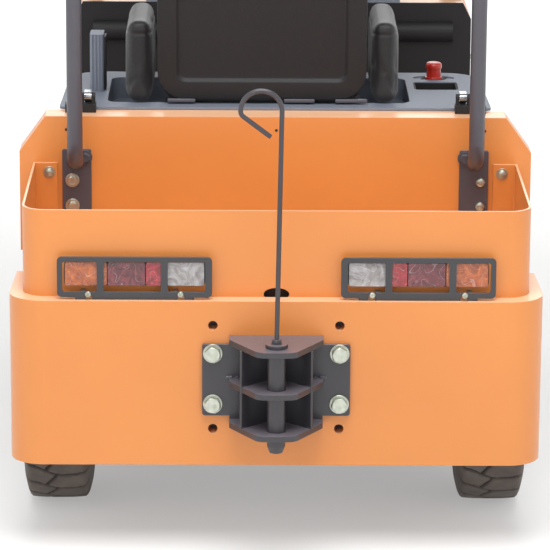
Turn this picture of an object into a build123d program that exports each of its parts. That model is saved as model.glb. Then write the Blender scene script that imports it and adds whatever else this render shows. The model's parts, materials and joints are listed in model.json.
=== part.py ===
from build123d import *
import os
from math import cos, hypot, radians, sin, tan, atan2

os.makedirs("parts", exist_ok=True)

# An electric sit-on tow tractor for baggage carts.
# X is to the right seen from behind, Y is forward, Z is up. The origin is on the ground
# in the middle of the machine. Lengths are millimetres.

# The whole machine, its length made up from the back to the front
overall_width = 1126.0
half_width = overall_width / 2
sheet = 5.0
seat_gap = 0.3
pin_clearance = 0.05
coupling_reach = 133.0
bulkhead_from_rear = 471.0
top_flange = 69.0
box_length = 375.0
footwell_length = 470.0
toe_to_axle = 305.0
axle_to_front = 360.0
body_length = (bulkhead_from_rear + top_flange + box_length + footwell_length
               + toe_to_axle + axle_to_front)
rear = -(body_length + coupling_reach) / 2 + coupling_reach
front = rear + body_length
bulkhead_y = rear + bulkhead_from_rear
fold_y = bulkhead_y + top_flange
box_front_y = fold_y + box_length
toe_y = box_front_y + footwell_length

# Wheels, the same size front and back
tyre_radius = 230.0
tyre_width = 148.0
tread_inset = 16.0
shoulder_drop = 14.0
shoulder_step = 8.0
bulge_radius = 168.0
bead_inset = 5.0
tyre_sides = 72
rim_radius = 122.0
rim_wall = 7.0
rim_disc = 10.0
rim_disc_inset = 22.0
rim_edge_inset = 8.0
hub_radius = 46.0
hub_length = 64.0
hand_hole_radius = 13.0
hand_hole_count = 6
spindle_radius = 20.0
wheel_side_gap = 15.0
wheel_x = half_width - wheel_side_gap - tyre_width / 2
axle_height = tyre_radius
axle_before_bulkhead = 71.0
rear_axle_y = bulkhead_y - axle_before_bulkhead
front_axle_y = toe_y + toe_to_axle
arch_gap = 52.0
arch_radius = tyre_radius + arch_gap

# Chassis rails
rail_x = 235.0
rail_width = 50.0
rail_height = 80.0
rail_over_axle = 70.0
rail_low = axle_height + rail_over_axle
rail_high = rail_low + rail_height
cross_depth = 60.0
rear_cross_back = 250.0
middle_cross_ahead = 390.0
nose_cross_back = 60.0
outrigger = 40.0
upright_depth = 50.0
upright_drop = 140.0

# Rear bumper: a thick plate bent round the back
bumper_low = 195.0
bumper_high = 553.0
bumper_back = 36.0
bumper_side = 30.0
bumper_corner = 72.0
bumper_arm = 240.0
arm_toe_in = 7.0

# Rear tray: open sheet box inside the bumper
tray_low = 540.0
tray_rim = 739.0
tray_wall = 5.0
tray_flange = 53.0
tray_corner = 50.0
tray_half = half_width - bumper_side
tray_back_y = rear + bumper_back
drain_width = 54.0
drain_rise = 28.0

# Bulkhead and seat box
body_top = 843.0
shoulder_width = 57.0
shoulder_height = 79.0
deck_side_inset = 85.0
deck_half_width = half_width - deck_side_inset
deck_taper = 8.0
deck_overhang = 15.0
box_side_gap = 12.0
box_half = deck_half_width - deck_taper - box_side_gap
box_corner = 72.0
box_flange = 24.0
ledge_z = 640.0
panel_corner = 45.0
sill_low = 250.0
floor_thickness = 6.0
floor_top = rail_high + floor_thickness

# Front cowl
cowl_side_inset = 78.0
cowl_half = half_width - cowl_side_inset
cowl_wall = 6.0
cowl_front_gap = 40.0
cowl_top = 930.0
cowl_nose = 740.0
cowl_corner = 110.0
cowl_brow = 200.0
cowl_shoulder_width = 20.0
cowl_shoulder_height = 40.0
toe_board_thickness = 6.0
cowl_back_y = toe_y + toe_board_thickness
nose_y = front - cowl_front_gap

# Tow coupling
coupling_centre = 388.0
plate_thickness = 12.0
jaw_pitch = 90.0
jaw_rise = 2.0
back_plate_width = 310.0
back_plate_height = 155.0
back_plate_thickness = 10.0
back_plate_drop = 3.0
back_plate_corner = 6.0
tab_half = 98.0
nose_half = 38.0
nose_radius = 26.0
shoulder_reach = 35.0
web_thickness = 6.0
web_half = 73.0
web_reach = 76.0
bolt_spacing_x = 265.0
bolt_spacing_z = 110.0
bolt_hole_radius = 11.0
spare_spacing_z = 225.0
spare_hole_radius = 10.0

# Tow pin with its long pull handle
pin_radius = 19.0
pin_reach = 92.0
pin_tail = 34.0
pin_taper = 14.0
pin_tip_inset = 5.0
pin_hole_clearance = 0.7
collar_radius = 23.5
collar_height = 8.0
handle_radius = 5.0
handle_lean = 8.0
loop_radius = 42.0
loop_height = 978.0
loop_bend_radius = 14.0
loop_bend = 53.0
loop_end_length = 70.0

# Canopy
post_radius = 17.0
post_inset = 126.0
post_x = half_width - post_inset
post_setback = 80.0
post_foot_z = 750.0
post_bend = 50.0
roof_bend = 110.0
roof_rail_z = 1921.0
roof_height = 62.0
roof_taper = 12.0
roof_overhang = 70.0
roof_side = 63.0
roof_corner = 90.0
roof_skin = 6.0
roof_rim = 34.0
front_post_ahead = 115.0
post_plate_width = 64.0
post_plate_thickness = 6.0
post_plate_low = 618.0
post_plate_high = 770.0
post_plate_corner = 5.0
weld_radius = 23.0
weld_length = 9.0
foot_plate_width = 56.0
foot_plate_length = 128.0
foot_plate_corner = 8.0
bar_radius = 12.0
bar_inset = 40.0

# Seat deck, hinged at the back
deck_skin = 6.0
deck_low = body_top + seat_gap
deck_top = deck_low + deck_skin
deck_front_y = box_front_y + deck_overhang
deck_front_corner = 80.0
deck_back_corner = 14.0
deck_back_gap = 0.3
skirt_depth = 46.0
skirt_wall = 5.0
skirt_length = 120.0
hinge_from_fold = 14.0
hinge_rise = 33.0
hinge_inset = 48.0
hinge_y = fold_y - hinge_from_fold
hinge_z = body_top + hinge_rise
hinge_x = deck_half_width - hinge_inset
well_left_margin = 104.0
well_right_margin = 178.0
well_left = -deck_half_width + well_left_margin
well_right = deck_half_width - well_right_margin
well_from_fold = 53.0
well_depth = 50.0
well_front_gap = 65.0
well_corner = 24.0

# Seat
seat_from_well = 344.0
seat_x = well_left + seat_from_well
cushion_width = 471.0
cushion_length = 410.0
cushion_height = 78.0
cushion_corner = 60.0
cushion_edge = 24.0
cushion_back_gap = 62.0
back_height = 500.0
back_thickness = 82.0
back_lean = 8.0
back_edge = 22.0
pad_width = 58.0
pad_gap = 9.0
pad_height = 190.0
pad_length = 210.0
pad_edge = 16.0
seat_rise = 3.0

# Steering
kingpin_inset = 94.0
kingpin_x = wheel_x - kingpin_inset
kingpin_radius = 12.0
eye_radius = 30.0
eye_half_height = 38.0
ear_thickness = 14.0
arm_reach = 110.0
arm_inset = 20.0
arm_half = 14.0
web_gap = 6.0
tie_rod_radius = 11.0
tie_end_radius = 15.0
hub_before_toe = 55.0
wheel_hub_y = toe_y - hub_before_toe
hub_over_cowl = 220.0
wheel_hub_z = cowl_top + hub_over_cowl
steering_wheel_radius = 185.0
steering_rim_radius = 14.0
column_lean = 36.0
column_length = 290.0
column_radius = 30.0
column_top_gap = 30.0
shaft_radius = 10.0
hub_plate_radius = 42.0
hub_plate_height = 24.0
spoke_width = 30.0
spoke_thickness = 10.0
spoke_rise = 8.0


def shoulder_points(side, top, corner, drop, low, inset):
    # A front view with upright sides, sloping shoulders and a flat top, made smaller by inset
    slope = atan2(corner, drop)
    knee = top - drop - inset * tan(slope / 2)
    brow = side - corner - inset * tan((radians(90) - slope) / 2)
    return [(-side + inset, low), (-side + inset, knee), (-brow, top - inset),
            (brow, top - inset), (side - inset, knee), (side - inset, low)]


def arches(radius):
    # Cuts both wheel arches through whatever is being made
    with BuildSketch(Plane.YZ) as openings:
        with Locations((rear_axle_y, axle_height), (front_axle_y, axle_height)):
            Circle(radius)
    extrude(openings.sketch, amount=overall_width, both=True, mode=Mode.SUBTRACT)


def wrap_plan(side, end_y, reach, corner, wall):
    # Plan of a plate bent round the end at end_y, open towards the side that reach points to
    length = abs(reach)
    keep = Align.MIN if reach > 0 else Align.MAX
    with Locations((0, end_y + reach)):
        RectangleRounded(2 * side, 2 * length, corner)
        RectangleRounded(2 * (side - wall), 2 * (length - wall), corner - wall, mode=Mode.SUBTRACT)
        Rectangle(2 * side, length, align=(Align.CENTER, keep), mode=Mode.SUBTRACT)


# Chassis frame: two rails with cross members, behind the bumper plate
rail_back_y = rear + bumper_back
rail_nose_gap = 20.0
rail_front_y = nose_y - rail_nose_gap
middle_cross_y = rear_axle_y + middle_cross_ahead
with BuildPart() as chassis_frame:
    with BuildSketch(Plane.XY.offset(rail_low)):
        for side in (-1, 1):
            with Locations((side * rail_x, (rail_back_y + rail_front_y) / 2)):
                Rectangle(rail_width, rail_front_y - rail_back_y)
        for cross_y in (rear_axle_y - rear_cross_back, middle_cross_y, box_front_y,
                        toe_y - cross_depth / 2, rail_front_y - nose_cross_back):
            with Locations((0, cross_y)):
                Rectangle(2 * rail_x, cross_depth)
    extrude(amount=rail_height)
    # Outriggers carry the side panels and the step
    with BuildSketch(Plane.XY.offset(rail_high - outrigger)):
        for out_y in (middle_cross_y, box_front_y - panel_corner - outrigger / 2,
                      box_front_y + outrigger / 2, toe_y - outrigger / 2):
            with Locations((0, out_y)):
                Rectangle(overall_width - 2 * sheet, outrigger)
    extrude(amount=outrigger)
    # Uprights hold the bulkhead from in front
    with BuildSketch(Plane.XY.offset(rail_high)):
        for side in (-1, 1):
            with Locations((side * rail_x, bulkhead_y + sheet)):
                Rectangle(rail_width, upright_depth, align=(Align.CENTER, Align.MIN))
    extrude(amount=body_top - upright_drop - rail_high)
chassis_frame.part.label = "chassis_frame"
export_step(chassis_frame.part, "parts/chassis_frame.step")

# Rear bumper with its arms trimmed by the wheel arches
bumper_height = bumper_high - bumper_low
with BuildPart() as rear_bumper:
    with BuildSketch(Plane.XY.offset(bumper_low)):
        arm_half_width = half_width - arm_toe_in
        Polygon((-arm_half_width, rear + bumper_arm), (-half_width, rear), (half_width, rear),
                (arm_half_width, rear + bumper_arm), align=None)
        fillet(vertices().sort_by(Axis.Y)[:2], bumper_corner)
    extrude(amount=bumper_height)
    with BuildSketch(Plane.XY.offset(bumper_low)):
        with Locations((0, tray_back_y + bumper_arm)):
            RectangleRounded(2 * tray_half, 2 * bumper_arm, tray_corner)
    extrude(amount=bumper_height, mode=Mode.SUBTRACT)
    arches(arch_radius)
    for spacing_z, hole_radius in ((bolt_spacing_z, bolt_hole_radius),
                                   (spare_spacing_z, spare_hole_radius)):
        with BuildSketch(Plane.XZ.offset(-rear)):
            with Locations((0, coupling_centre)):
                with GridLocations(bolt_spacing_x, spacing_z, 2, 2):
                    Circle(hole_radius)
        extrude(amount=-bumper_back, mode=Mode.SUBTRACT)
rear_bumper.part.label = "rear_bumper"
export_step(rear_bumper.part, "parts/rear_bumper.step")

# Rear tray: floor, three walls and flanges turned in against the bulkhead
tray_length = bulkhead_y - tray_back_y
with BuildPart() as rear_tray:
    with BuildSketch(Plane.XY.offset(tray_low)):
        wrap_plan(tray_half, tray_back_y, tray_length, tray_corner, tray_wall)
        for side in (-1, 1):
            with Locations((side * (tray_half - tray_flange / 2), bulkhead_y - tray_wall / 2)):
                Rectangle(tray_flange, tray_wall)
    extrude(amount=tray_rim - tray_low)
    with BuildSketch(Plane.XY.offset(tray_low)):
        with Locations((0, tray_back_y + tray_length)):
            RectangleRounded(2 * tray_half, 2 * tray_length, tray_corner)
            Rectangle(2 * tray_half, tray_length, align=(Align.CENTER, Align.MIN),
                      mode=Mode.SUBTRACT)
    extrude(amount=tray_wall)
    with BuildSketch(Plane.XZ.offset(-tray_back_y)):
        with Locations((0, bumper_high + drain_rise / 5)):
            Ellipse(drain_width / 2, drain_rise / 2)
    extrude(amount=-tray_wall, mode=Mode.SUBTRACT)
rear_tray.part.label = "rear_tray"
export_step(rear_tray.part, "parts/rear_tray.step")

# Bulkhead behind the seat: a shallow pan, its rim folded forward on the sides and the top
with BuildPart() as rear_bulkhead:
    with BuildSketch(Plane.XZ.offset(-bulkhead_y)):
        Polygon(*shoulder_points(half_width, body_top, shoulder_width, shoulder_height,
                                 tray_low, 0), align=None)
    extrude(amount=-top_flange)
    with BuildSketch(Plane.XZ.offset(-bulkhead_y - sheet)):
        Polygon(*shoulder_points(half_width, body_top, shoulder_width, shoulder_height,
                                 tray_low, sheet), align=None)
    extrude(amount=-top_flange, mode=Mode.SUBTRACT)
rear_bulkhead.part.label = "rear_bulkhead"
export_step(rear_bulkhead.part, "parts/rear_bulkhead.step")

# Side panels: a pressed box beside the seat box, open below and behind, with the rear arch
panel_width = half_width - box_half
for side, name in ((-1, "side_panel_left"), (1, "side_panel_right")):
    panel_x = side * (half_width + box_half) / 2
    with BuildPart() as side_panel:
        for inset, top in ((0, ledge_z), (sheet, ledge_z - sheet)):
            with BuildSketch(Plane.XY.offset(sill_low)) as panel_plan:
                with Locations((panel_x, fold_y)):
                    Rectangle(panel_width, box_length - inset, align=(Align.CENTER, Align.MIN))
                front_corners = panel_plan.vertices().group_by(Axis.Y)[-1].sort_by(Axis.X)
                fillet(front_corners[0] if side < 0 else front_corners[-1], panel_corner - inset)
                if inset > 0:
                    with Locations((side * half_width, fold_y)):
                        Rectangle(2 * sheet, 2 * box_length, mode=Mode.SUBTRACT)
            extrude(amount=top - sill_low, mode=Mode.SUBTRACT if inset > 0 else Mode.ADD)
        arches(arch_radius)
    side_panel.part.label = name
    export_step(side_panel.part, f"parts/{name}.step")

# Seat box: one sheet bent round the battery, its top edge turned in under the deck
with BuildPart() as seat_box:
    with BuildSketch(Plane.XY.offset(rail_high)):
        wrap_plan(box_half, box_front_y, -box_length, box_corner, sheet)
    extrude(amount=body_top - rail_high)
    with BuildSketch(Plane.XY.offset(body_top - sheet)):
        wrap_plan(box_half, box_front_y, -box_length, box_corner, box_flange)
    extrude(amount=sheet)
    arches(arch_radius)
seat_box.part.label = "seat_box"
export_step(seat_box.part, "parts/seat_box.step")

# Floor of the footwell with a step lip on both sides
with BuildPart() as floor_plate:
    with BuildSketch(Plane.XY.offset(rail_high)):
        with Locations((0, box_front_y)):
            Rectangle(overall_width, footwell_length, align=(Align.CENTER, Align.MIN))
    extrude(amount=floor_thickness)
    with BuildSketch(Plane.XY.offset(rail_high)):
        for side in (-1, 1):
            with Locations((side * (half_width - sheet / 2), box_front_y)):
                Rectangle(sheet, footwell_length, align=(Align.CENTER, Align.MIN))
    extrude(amount=sill_low - rail_high)
floor_plate.part.label = "floor_plate"
export_step(floor_plate.part, "parts/floor_plate.step")


def cowl_section(inset):
    # The cowl's front view, used for its shell and for the toe board
    return shoulder_points(cowl_half, cowl_top, cowl_shoulder_width, cowl_shoulder_height,
                           floor_top, inset)


def cowl_form(inset):
    # The solid form of the front cowl, made smaller all round by inset
    with BuildPart() as form:
        with BuildSketch(Plane.YZ):
            with BuildLine():
                Polyline((cowl_back_y, floor_top), (cowl_back_y, cowl_top - inset),
                         (toe_y + cowl_brow, cowl_top - inset), (nose_y - inset, cowl_nose - inset),
                         (nose_y - inset, floor_top), close=True)
            make_face()
            fillet(vertices().group_by(Axis.X)[-1].sort_by(Axis.Y)[-1], cowl_corner - inset)
        extrude(amount=overall_width, both=True)
        with BuildSketch(Plane.XY.offset(floor_top)):
            with Locations((0, cowl_back_y)):
                RectangleRounded(2 * (cowl_half - inset), 2 * (nose_y - inset - cowl_back_y),
                                 cowl_corner - inset)
        extrude(amount=cowl_top, mode=Mode.INTERSECT)
        with BuildSketch(Plane.XZ.offset(-cowl_back_y)):
            Polygon(*cowl_section(inset), align=None)
        extrude(amount=-overall_width * 2, mode=Mode.INTERSECT)
    return form.part


# Front cowl: a hollow moulding over the front wheels, with cooling slots in its nose
grille_width = 300.0
grille_slot = 14.0
grille_pitch = 30.0
grille_count = 5
grille_z = floor_top + 130.0
cowl_outside = cowl_form(0)
with BuildPart() as front_cowl:
    add(cowl_outside)
    add(cowl_form(cowl_wall), mode=Mode.SUBTRACT)
    arches(arch_radius)
    with BuildSketch(Plane.XZ.offset(-nose_y)):
        with Locations((0, grille_z)):
            with GridLocations(1, grille_pitch, 1, grille_count):
                SlotOverall(grille_width, grille_slot)
    extrude(amount=2 * cowl_wall, mode=Mode.SUBTRACT)
front_cowl.part.label = "front_cowl"
export_step(front_cowl.part, "parts/front_cowl.step")

# Toe board: the dark panel that closes the cowl towards the driver, with a knee roll
roll_radius = 26.0
roll_drop = 70.0
roll_half = cowl_half - 45.0
with BuildPart() as toe_board:
    with BuildSketch(Plane.XZ.offset(-toe_y)):
        Polygon(*cowl_section(0), align=None)
    extrude(amount=-toe_board_thickness)
    with BuildSketch(Plane.YZ.offset(-roll_half)):
        with Locations((toe_y, cowl_top - roll_drop)):
            Circle(roll_radius)
            Rectangle(2 * roll_radius, 2 * roll_radius, align=(Align.MIN, Align.CENTER),
                      mode=Mode.SUBTRACT)
    extrude(amount=2 * roll_half)
toe_board.part.label = "toe_board"
export_step(toe_board.part, "parts/toe_board.step")

# Front mudguards: half rings over the front wheels, outside the cowl
guard_sheet = 6.0
with BuildPart() as front_mudguards:
    for side in (-1, 1):
        with BuildSketch(Plane.YZ.offset(side * cowl_half)):
            with Locations((front_axle_y, axle_height)):
                Circle(arch_radius + guard_sheet)
                Circle(arch_radius, mode=Mode.SUBTRACT)
                Rectangle(3 * arch_radius, 3 * arch_radius, align=(Align.CENTER, Align.MAX),
                          mode=Mode.SUBTRACT)
            with Locations((toe_y, axle_height)):
                Rectangle(2 * arch_radius, floor_top - axle_height,
                          align=(Align.MAX, Align.MIN), mode=Mode.SUBTRACT)
        extrude(amount=side * (half_width - cowl_half))
front_mudguards.part.label = "front_mudguards"
export_step(front_mudguards.part, "parts/front_mudguards.step")

# Front bumper: a thick bar across the rails
bar_height = 210.0
bar_end_inset = 40.0
bar_end_slope = 50.0
with BuildPart() as front_bumper:
    with BuildSketch(Plane.XY.offset(bumper_low)):
        bar_back = half_width - bar_end_inset
        bar_front = bar_back - bar_end_slope
        Polygon((-bar_back, nose_y), (-bar_front, front), (bar_front, front),
                (bar_back, nose_y), align=None)
    extrude(amount=bar_height)
    with BuildSketch(Plane.XY.offset(rail_low)):
        for side in (-1, 1):
            with Locations((side * rail_x, rail_front_y)):
                Rectangle(rail_width, nose_y - rail_front_y, align=(Align.CENTER, Align.MIN))
    extrude(amount=rail_height)
front_bumper.part.label = "front_bumper"
export_step(front_bumper.part, "parts/front_bumper.step")

# Dashboard: a moulded hood standing on the cowl
dash_width = 620.0
dash_depth = 165.0
dash_height = 92.0
dash_face = 34.0
dash_brow = 46.0
dash_round = 18.0
with BuildPart() as dashboard:
    with BuildSketch(Plane.YZ.offset(-dash_width / 2)) as hood:
        Polygon((toe_y, cowl_top), (toe_y + dash_face, cowl_top + dash_height),
                (toe_y + dash_face + dash_brow, cowl_top + dash_height),
                (toe_y + dash_depth, cowl_top), align=None)
        fillet(hood.vertices().group_by(Axis.Y)[-1], dash_round)
    extrude(amount=dash_width)
dashboard.part.label = "dashboard"
export_step(dashboard.part, "parts/dashboard.step")

# Steering column: a tube out of the dashboard towards the driver
lean = radians(column_lean)
column_axis = Vector(0, -sin(lean), cos(lean))
wheel_centre = Vector(0, wheel_hub_y, wheel_hub_z)
column_foot = wheel_centre - column_axis * column_length
column_plane = Plane(origin=column_foot, x_dir=(1, 0, 0), z_dir=column_axis)
wheel_plane = Plane(origin=wheel_centre, x_dir=(1, 0, 0), z_dir=column_axis)
with BuildPart() as steering_column:
    with BuildSketch(column_plane):
        Circle(column_radius)
    extrude(amount=column_length - column_top_gap)
    with BuildSketch(wheel_plane.offset(-column_top_gap)):
        Circle(shaft_radius)
    extrude(amount=column_top_gap - seat_gap)
    add(dashboard.part, mode=Mode.SUBTRACT)
    add(cowl_outside, mode=Mode.SUBTRACT)
steering_column.part.label = "steering_column"
export_step(steering_column.part, "parts/steering_column.step")

with BuildPart() as steering_wheel:
    with BuildSketch(wheel_plane):
        Circle(hub_plate_radius)
    extrude(amount=hub_plate_height)
    with BuildSketch(Plane(origin=wheel_centre, x_dir=(1, 0, 0),
                           z_dir=(0, -cos(lean), -sin(lean)))):
        with Locations((steering_wheel_radius, steering_rim_radius)):
            Circle(steering_rim_radius)
    revolve(axis=Axis(wheel_centre, column_axis))
    with BuildSketch(wheel_plane.offset(spoke_rise)):
        for turn in (90, 210, 330):
            with Locations(Rotation(0, 0, turn)):
                with Locations((steering_wheel_radius / 2, 0)):
                    Rectangle(steering_wheel_radius, spoke_width)
    extrude(amount=spoke_thickness)
steering_wheel.part.label = "steering_wheel"
export_step(steering_wheel.part, "parts/steering_wheel.step")

# Head lamps on the flat of the cowl's nose
lamp_radius = 70.0
lamp_depth = 30.0
lamp_side_gap = 6.0
head_lamp_x = cowl_half - cowl_corner - lamp_radius - lamp_side_gap
head_lamp_z = cowl_nose - cowl_corner - lamp_radius - lamp_side_gap
with BuildPart() as headlamps:
    with BuildSketch(Plane.XZ.offset(-nose_y)):
        for side in (-1, 1):
            with Locations((side * head_lamp_x, head_lamp_z)):
                Circle(lamp_radius)
    extrude(amount=-lamp_depth)
headlamps.part.label = "headlamps"
export_step(headlamps.part, "parts/headlamps.step")

# Tail lamps: long bases with lenses side by side
lamp_inset = 267.0
lamp_x = half_width - lamp_inset
lamp_length = 294.0
lamp_height = 53.0
lamp_rise = 27.0
lamp_low = bumper_high + lamp_rise
lamp_corner = 8.0
base_depth = 10.0
lens_depth = 9.0
lamp_base_y = tray_back_y - base_depth
with BuildPart() as tail_lamp_bases:
    with BuildSketch(Plane.XZ.offset(-tray_back_y)):
        for side in (-1, 1):
            with Locations((side * lamp_x, lamp_low + lamp_height / 2)):
                RectangleRounded(lamp_length, lamp_height, lamp_corner)
    extrude(amount=base_depth)
tail_lamp_bases.part.label = "tail_lamp_bases"
export_step(tail_lamp_bases.part, "parts/tail_lamp_bases.step")

lens_rim = 2.0
lens_corner = 4.0
lens_spans = {"tail_lens_amber": (0.0, 0.30), "tail_lens_red": (0.306, 0.575),
              "tail_lens_stop": (0.581, 0.70), "tail_lens_clear": (0.735, 1.0)}
lens_clear_length = lamp_length - 2 * lens_rim
for name, (start, stop) in lens_spans.items():
    with BuildPart() as lens:
        with BuildSketch(Plane.XZ.offset(-lamp_base_y)):
            for side in (-1, 1):
                outer = side * (lamp_x + lens_clear_length / 2)
                middle = outer - side * lens_clear_length * (start + stop) / 2
                with Locations((middle, lamp_low + lamp_height / 2)):
                    RectangleRounded(lens_clear_length * (stop - start),
                                     lamp_height - 2 * lens_rim, lens_corner)
        extrude(amount=lens_depth)
    lens.part.label = name
    export_step(lens.part, f"parts/{name}.step")

# Flat guards in front of the tail lamps, each with three windows and two slots for screws
guard_width = 323.0
guard_high = bumper_high + 92.0
guard_low = bumper_high + 5.0
guard_thickness = 5.0
guard_gap = 2.0
guard_corner = 10.0
guard_window_corner = 5.0
guard_bar = 11.0
guard_bottom_bar = 12.0
guard_windows = ((10.7, 82.8), (97.0, 216.5), (230.7, 308.8))
tab_span = (38.0, 286.0)
slot_middles = (66.0, 258.0)
slot_width = 14.0
guard_foot = 10.0
guard_y = lamp_base_y - lens_depth - guard_gap
window_low = guard_low + guard_bottom_bar
window_height = guard_high - guard_bar - window_low
with BuildPart() as lamp_guards:
    with BuildSketch(Plane.XZ.offset(-guard_y)):
        for side in (-1, 1):
            outer = side * (lamp_x + guard_width / 2)
            with Locations((side * lamp_x, (guard_low + guard_high) / 2)):
                RectangleRounded(guard_width, guard_high - guard_low, guard_corner)
            with Locations((outer - side * (tab_span[0] + tab_span[1]) / 2, bumper_high)):
                Rectangle(tab_span[1] - tab_span[0], 2 * (guard_low - bumper_high),
                          align=(Align.CENTER, Align.MIN))
            for start, stop in guard_windows:
                with Locations((outer - side * (start + stop) / 2,
                                window_low + window_height / 2)):
                    RectangleRounded(stop - start, window_height, guard_window_corner,
                                     mode=Mode.SUBTRACT)
            for middle in slot_middles:
                with Locations((outer - side * middle, bumper_high)):
                    Rectangle(slot_width, guard_low - bumper_high + guard_bottom_bar / 2,
                              align=(Align.CENTER, Align.MIN), mode=Mode.SUBTRACT)
    extrude(amount=guard_thickness)
    # Feet back to the tray wall beside the slots
    with BuildSketch(Plane.XY.offset(guard_low)):
        for side in (-1, 1):
            outer = side * (lamp_x + guard_width / 2)
            for middle in slot_middles:
                foot_x = outer - side * (middle - slot_width / 2 - guard_foot / 2)
                with Locations((foot_x, guard_y)):
                    Rectangle(guard_foot, tray_back_y - guard_y, align=(Align.CENTER, Align.MIN))
    extrude(amount=guard_bottom_bar)
lamp_guards.part.label = "lamp_guards"
export_step(lamp_guards.part, "parts/lamp_guards.step")


def jaw_outline():
    # Plan of one coupling plate: square shoulders, then a taper to a round nose
    Polygon((-tab_half, rear), (-tab_half, rear - shoulder_reach),
            (-nose_half, rear - coupling_reach), (nose_half, rear - coupling_reach),
            (tab_half, rear - shoulder_reach), (tab_half, rear), align=None)


# Tow coupling: three jaw plates on a bolted back plate, with webs in a V between them
jaw_tops = [coupling_centre + jaw_rise + step * jaw_pitch for step in (-1, 0, 1)]
with BuildPart() as tow_coupling:
    with BuildSketch(Plane.XZ.offset(-rear)):
        with Locations((0, coupling_centre - back_plate_drop)):
            RectangleRounded(back_plate_width, back_plate_height, back_plate_corner)
        with Locations((0, (jaw_tops[0] - plate_thickness + jaw_tops[-1]) / 2)):
            Rectangle(2 * tab_half, jaw_tops[-1] - jaw_tops[0] + plate_thickness)
        with Locations((0, coupling_centre)):
            with GridLocations(bolt_spacing_x, bolt_spacing_z, 2, 2):
                Circle(bolt_hole_radius, mode=Mode.SUBTRACT)
    extrude(amount=back_plate_thickness)
    for top in jaw_tops:
        with BuildSketch(Plane.XY.offset(top - plate_thickness)):
            jaw_outline()
            fillet(vertices().group_by(Axis.Y)[0], nose_radius)
        extrude(amount=plate_thickness)
    with BuildSketch(Plane.XY.offset(jaw_tops[0])):
        for side in (-1, 1):
            with BuildLine():
                Line((0, rear - back_plate_thickness), (side * web_half, rear - web_reach))
                offset(amount=web_thickness / 2, side=Side.BOTH)
            make_face()
    extrude(amount=jaw_tops[-1] - jaw_tops[0] - plate_thickness)
    with BuildSketch(Plane.XY.offset(jaw_tops[0] - plate_thickness)):
        with Locations((0, rear - pin_reach)):
            Circle(pin_radius + pin_hole_clearance)
    extrude(amount=jaw_tops[-1] - jaw_tops[0] + plate_thickness, mode=Mode.SUBTRACT)
tow_coupling.part.label = "tow_coupling"
export_step(tow_coupling.part, "parts/tow_coupling.step")

# Tow pin: a tapered pin, a collar and a long rod bent into a loop at the top
pin_y = rear - pin_reach
pin_low = jaw_tops[0] - plate_thickness - pin_tail
collar_low = jaw_tops[-1] + seat_gap
handle_low = collar_low + collar_height
with BuildPart() as tow_pin:
    with BuildSketch(Plane.XZ.offset(-pin_y)):
        Polygon((0, pin_low), (pin_radius - pin_tip_inset, pin_low),
                (pin_radius, pin_low + pin_taper), (pin_radius, collar_low),
                (collar_radius, collar_low), (collar_radius, handle_low), (0, handle_low),
                align=None)
    revolve(axis=Axis((0, pin_y, 0), (0, 0, 1)))
    with BuildSketch(Plane.XY.offset(handle_low)):
        with Locations((0, pin_y)):
            Circle(handle_radius)
    rod_length = hypot(handle_lean, loop_height - handle_low)
    extrude(amount=rod_length, dir=(handle_lean, 0, loop_height - handle_low))
    with BuildSketch(Plane.XY.offset(loop_height)):
        with Locations((handle_lean, pin_y)):
            Circle(handle_radius)
    revolve(axis=Axis((handle_lean - loop_radius, pin_y, loop_height), (0, -1, 0)),
            revolution_arc=180)
    # Past the top the rod bends in tighter and comes back straight to the handle
    loop_left = handle_lean - 2 * loop_radius
    bend_x = loop_left + loop_bend_radius
    end_lean = radians(loop_bend)
    with BuildSketch(Plane.XY.offset(loop_height)):
        with Locations((loop_left, pin_y)):
            Circle(handle_radius)
    revolve(axis=Axis((bend_x, pin_y, loop_height), (0, -1, 0)), revolution_arc=loop_bend)
    with BuildSketch(Plane(origin=(bend_x - loop_bend_radius * cos(end_lean), pin_y,
                                   loop_height - loop_bend_radius * sin(end_lean)),
                           z_dir=(sin(end_lean), 0, -cos(end_lean)))):
        Circle(handle_radius)
    extrude(amount=loop_end_length)
tow_pin.part.label = "tow_pin"
export_step(tow_pin.part, "parts/tow_pin.step")

# Canopy frame: a bent tube each side, from the bulkhead over the driver to the cowl
post_y = bulkhead_y - post_setback
front_post_y = toe_y + front_post_ahead
plate_y = bulkhead_y - post_plate_thickness
with BuildPart() as canopy_frame:
    for side in (-1, 1):
        x = side * post_x
        with BuildLine() as hoop_path:
            FilletPolyline((x, plate_y, post_foot_z), (x, post_y, post_foot_z),
                           (x, post_y, roof_rail_z), (x, front_post_y, roof_rail_z),
                           (x, front_post_y, cowl_top),
                           radius=[post_bend, roof_bend, roof_bend])
        with BuildSketch(Plane.XZ.offset(-plate_y)):
            with Locations((x, post_foot_z)):
                Circle(post_radius)
        sweep(path=hoop_path.line)
        with BuildSketch(Plane.XZ.offset(-bulkhead_y)):
            with Locations((x, (post_plate_low + post_plate_high) / 2)):
                RectangleRounded(post_plate_width, post_plate_high - post_plate_low,
                                 post_plate_corner)
        extrude(amount=post_plate_thickness)
        # Weld bead round the elbow where it meets its plate
        with BuildSketch(Plane.XZ.offset(-plate_y)):
            with Locations((x, post_foot_z - (weld_radius - post_radius) / 2)):
                Circle(weld_radius)
        extrude(amount=weld_length, taper=30)
        with BuildSketch(Plane.XY.offset(cowl_top)):
            with Locations((x, front_post_y)):
                RectangleRounded(foot_plate_width, foot_plate_length, foot_plate_corner)
        extrude(amount=post_plate_thickness)
    # Cross bars tie the two tubes together under the roof
    for bar_y in (post_y + roof_bend + bar_inset, (post_y + front_post_y) / 2,
                  front_post_y - roof_bend - bar_inset):
        with BuildSketch(Plane.YZ.offset(-post_x)):
            with Locations((bar_y, roof_rail_z)):
                Circle(bar_radius)
        extrude(amount=2 * post_x)
canopy_frame.part.label = "canopy_frame"
export_step(canopy_frame.part, "parts/canopy_frame.step")

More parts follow.
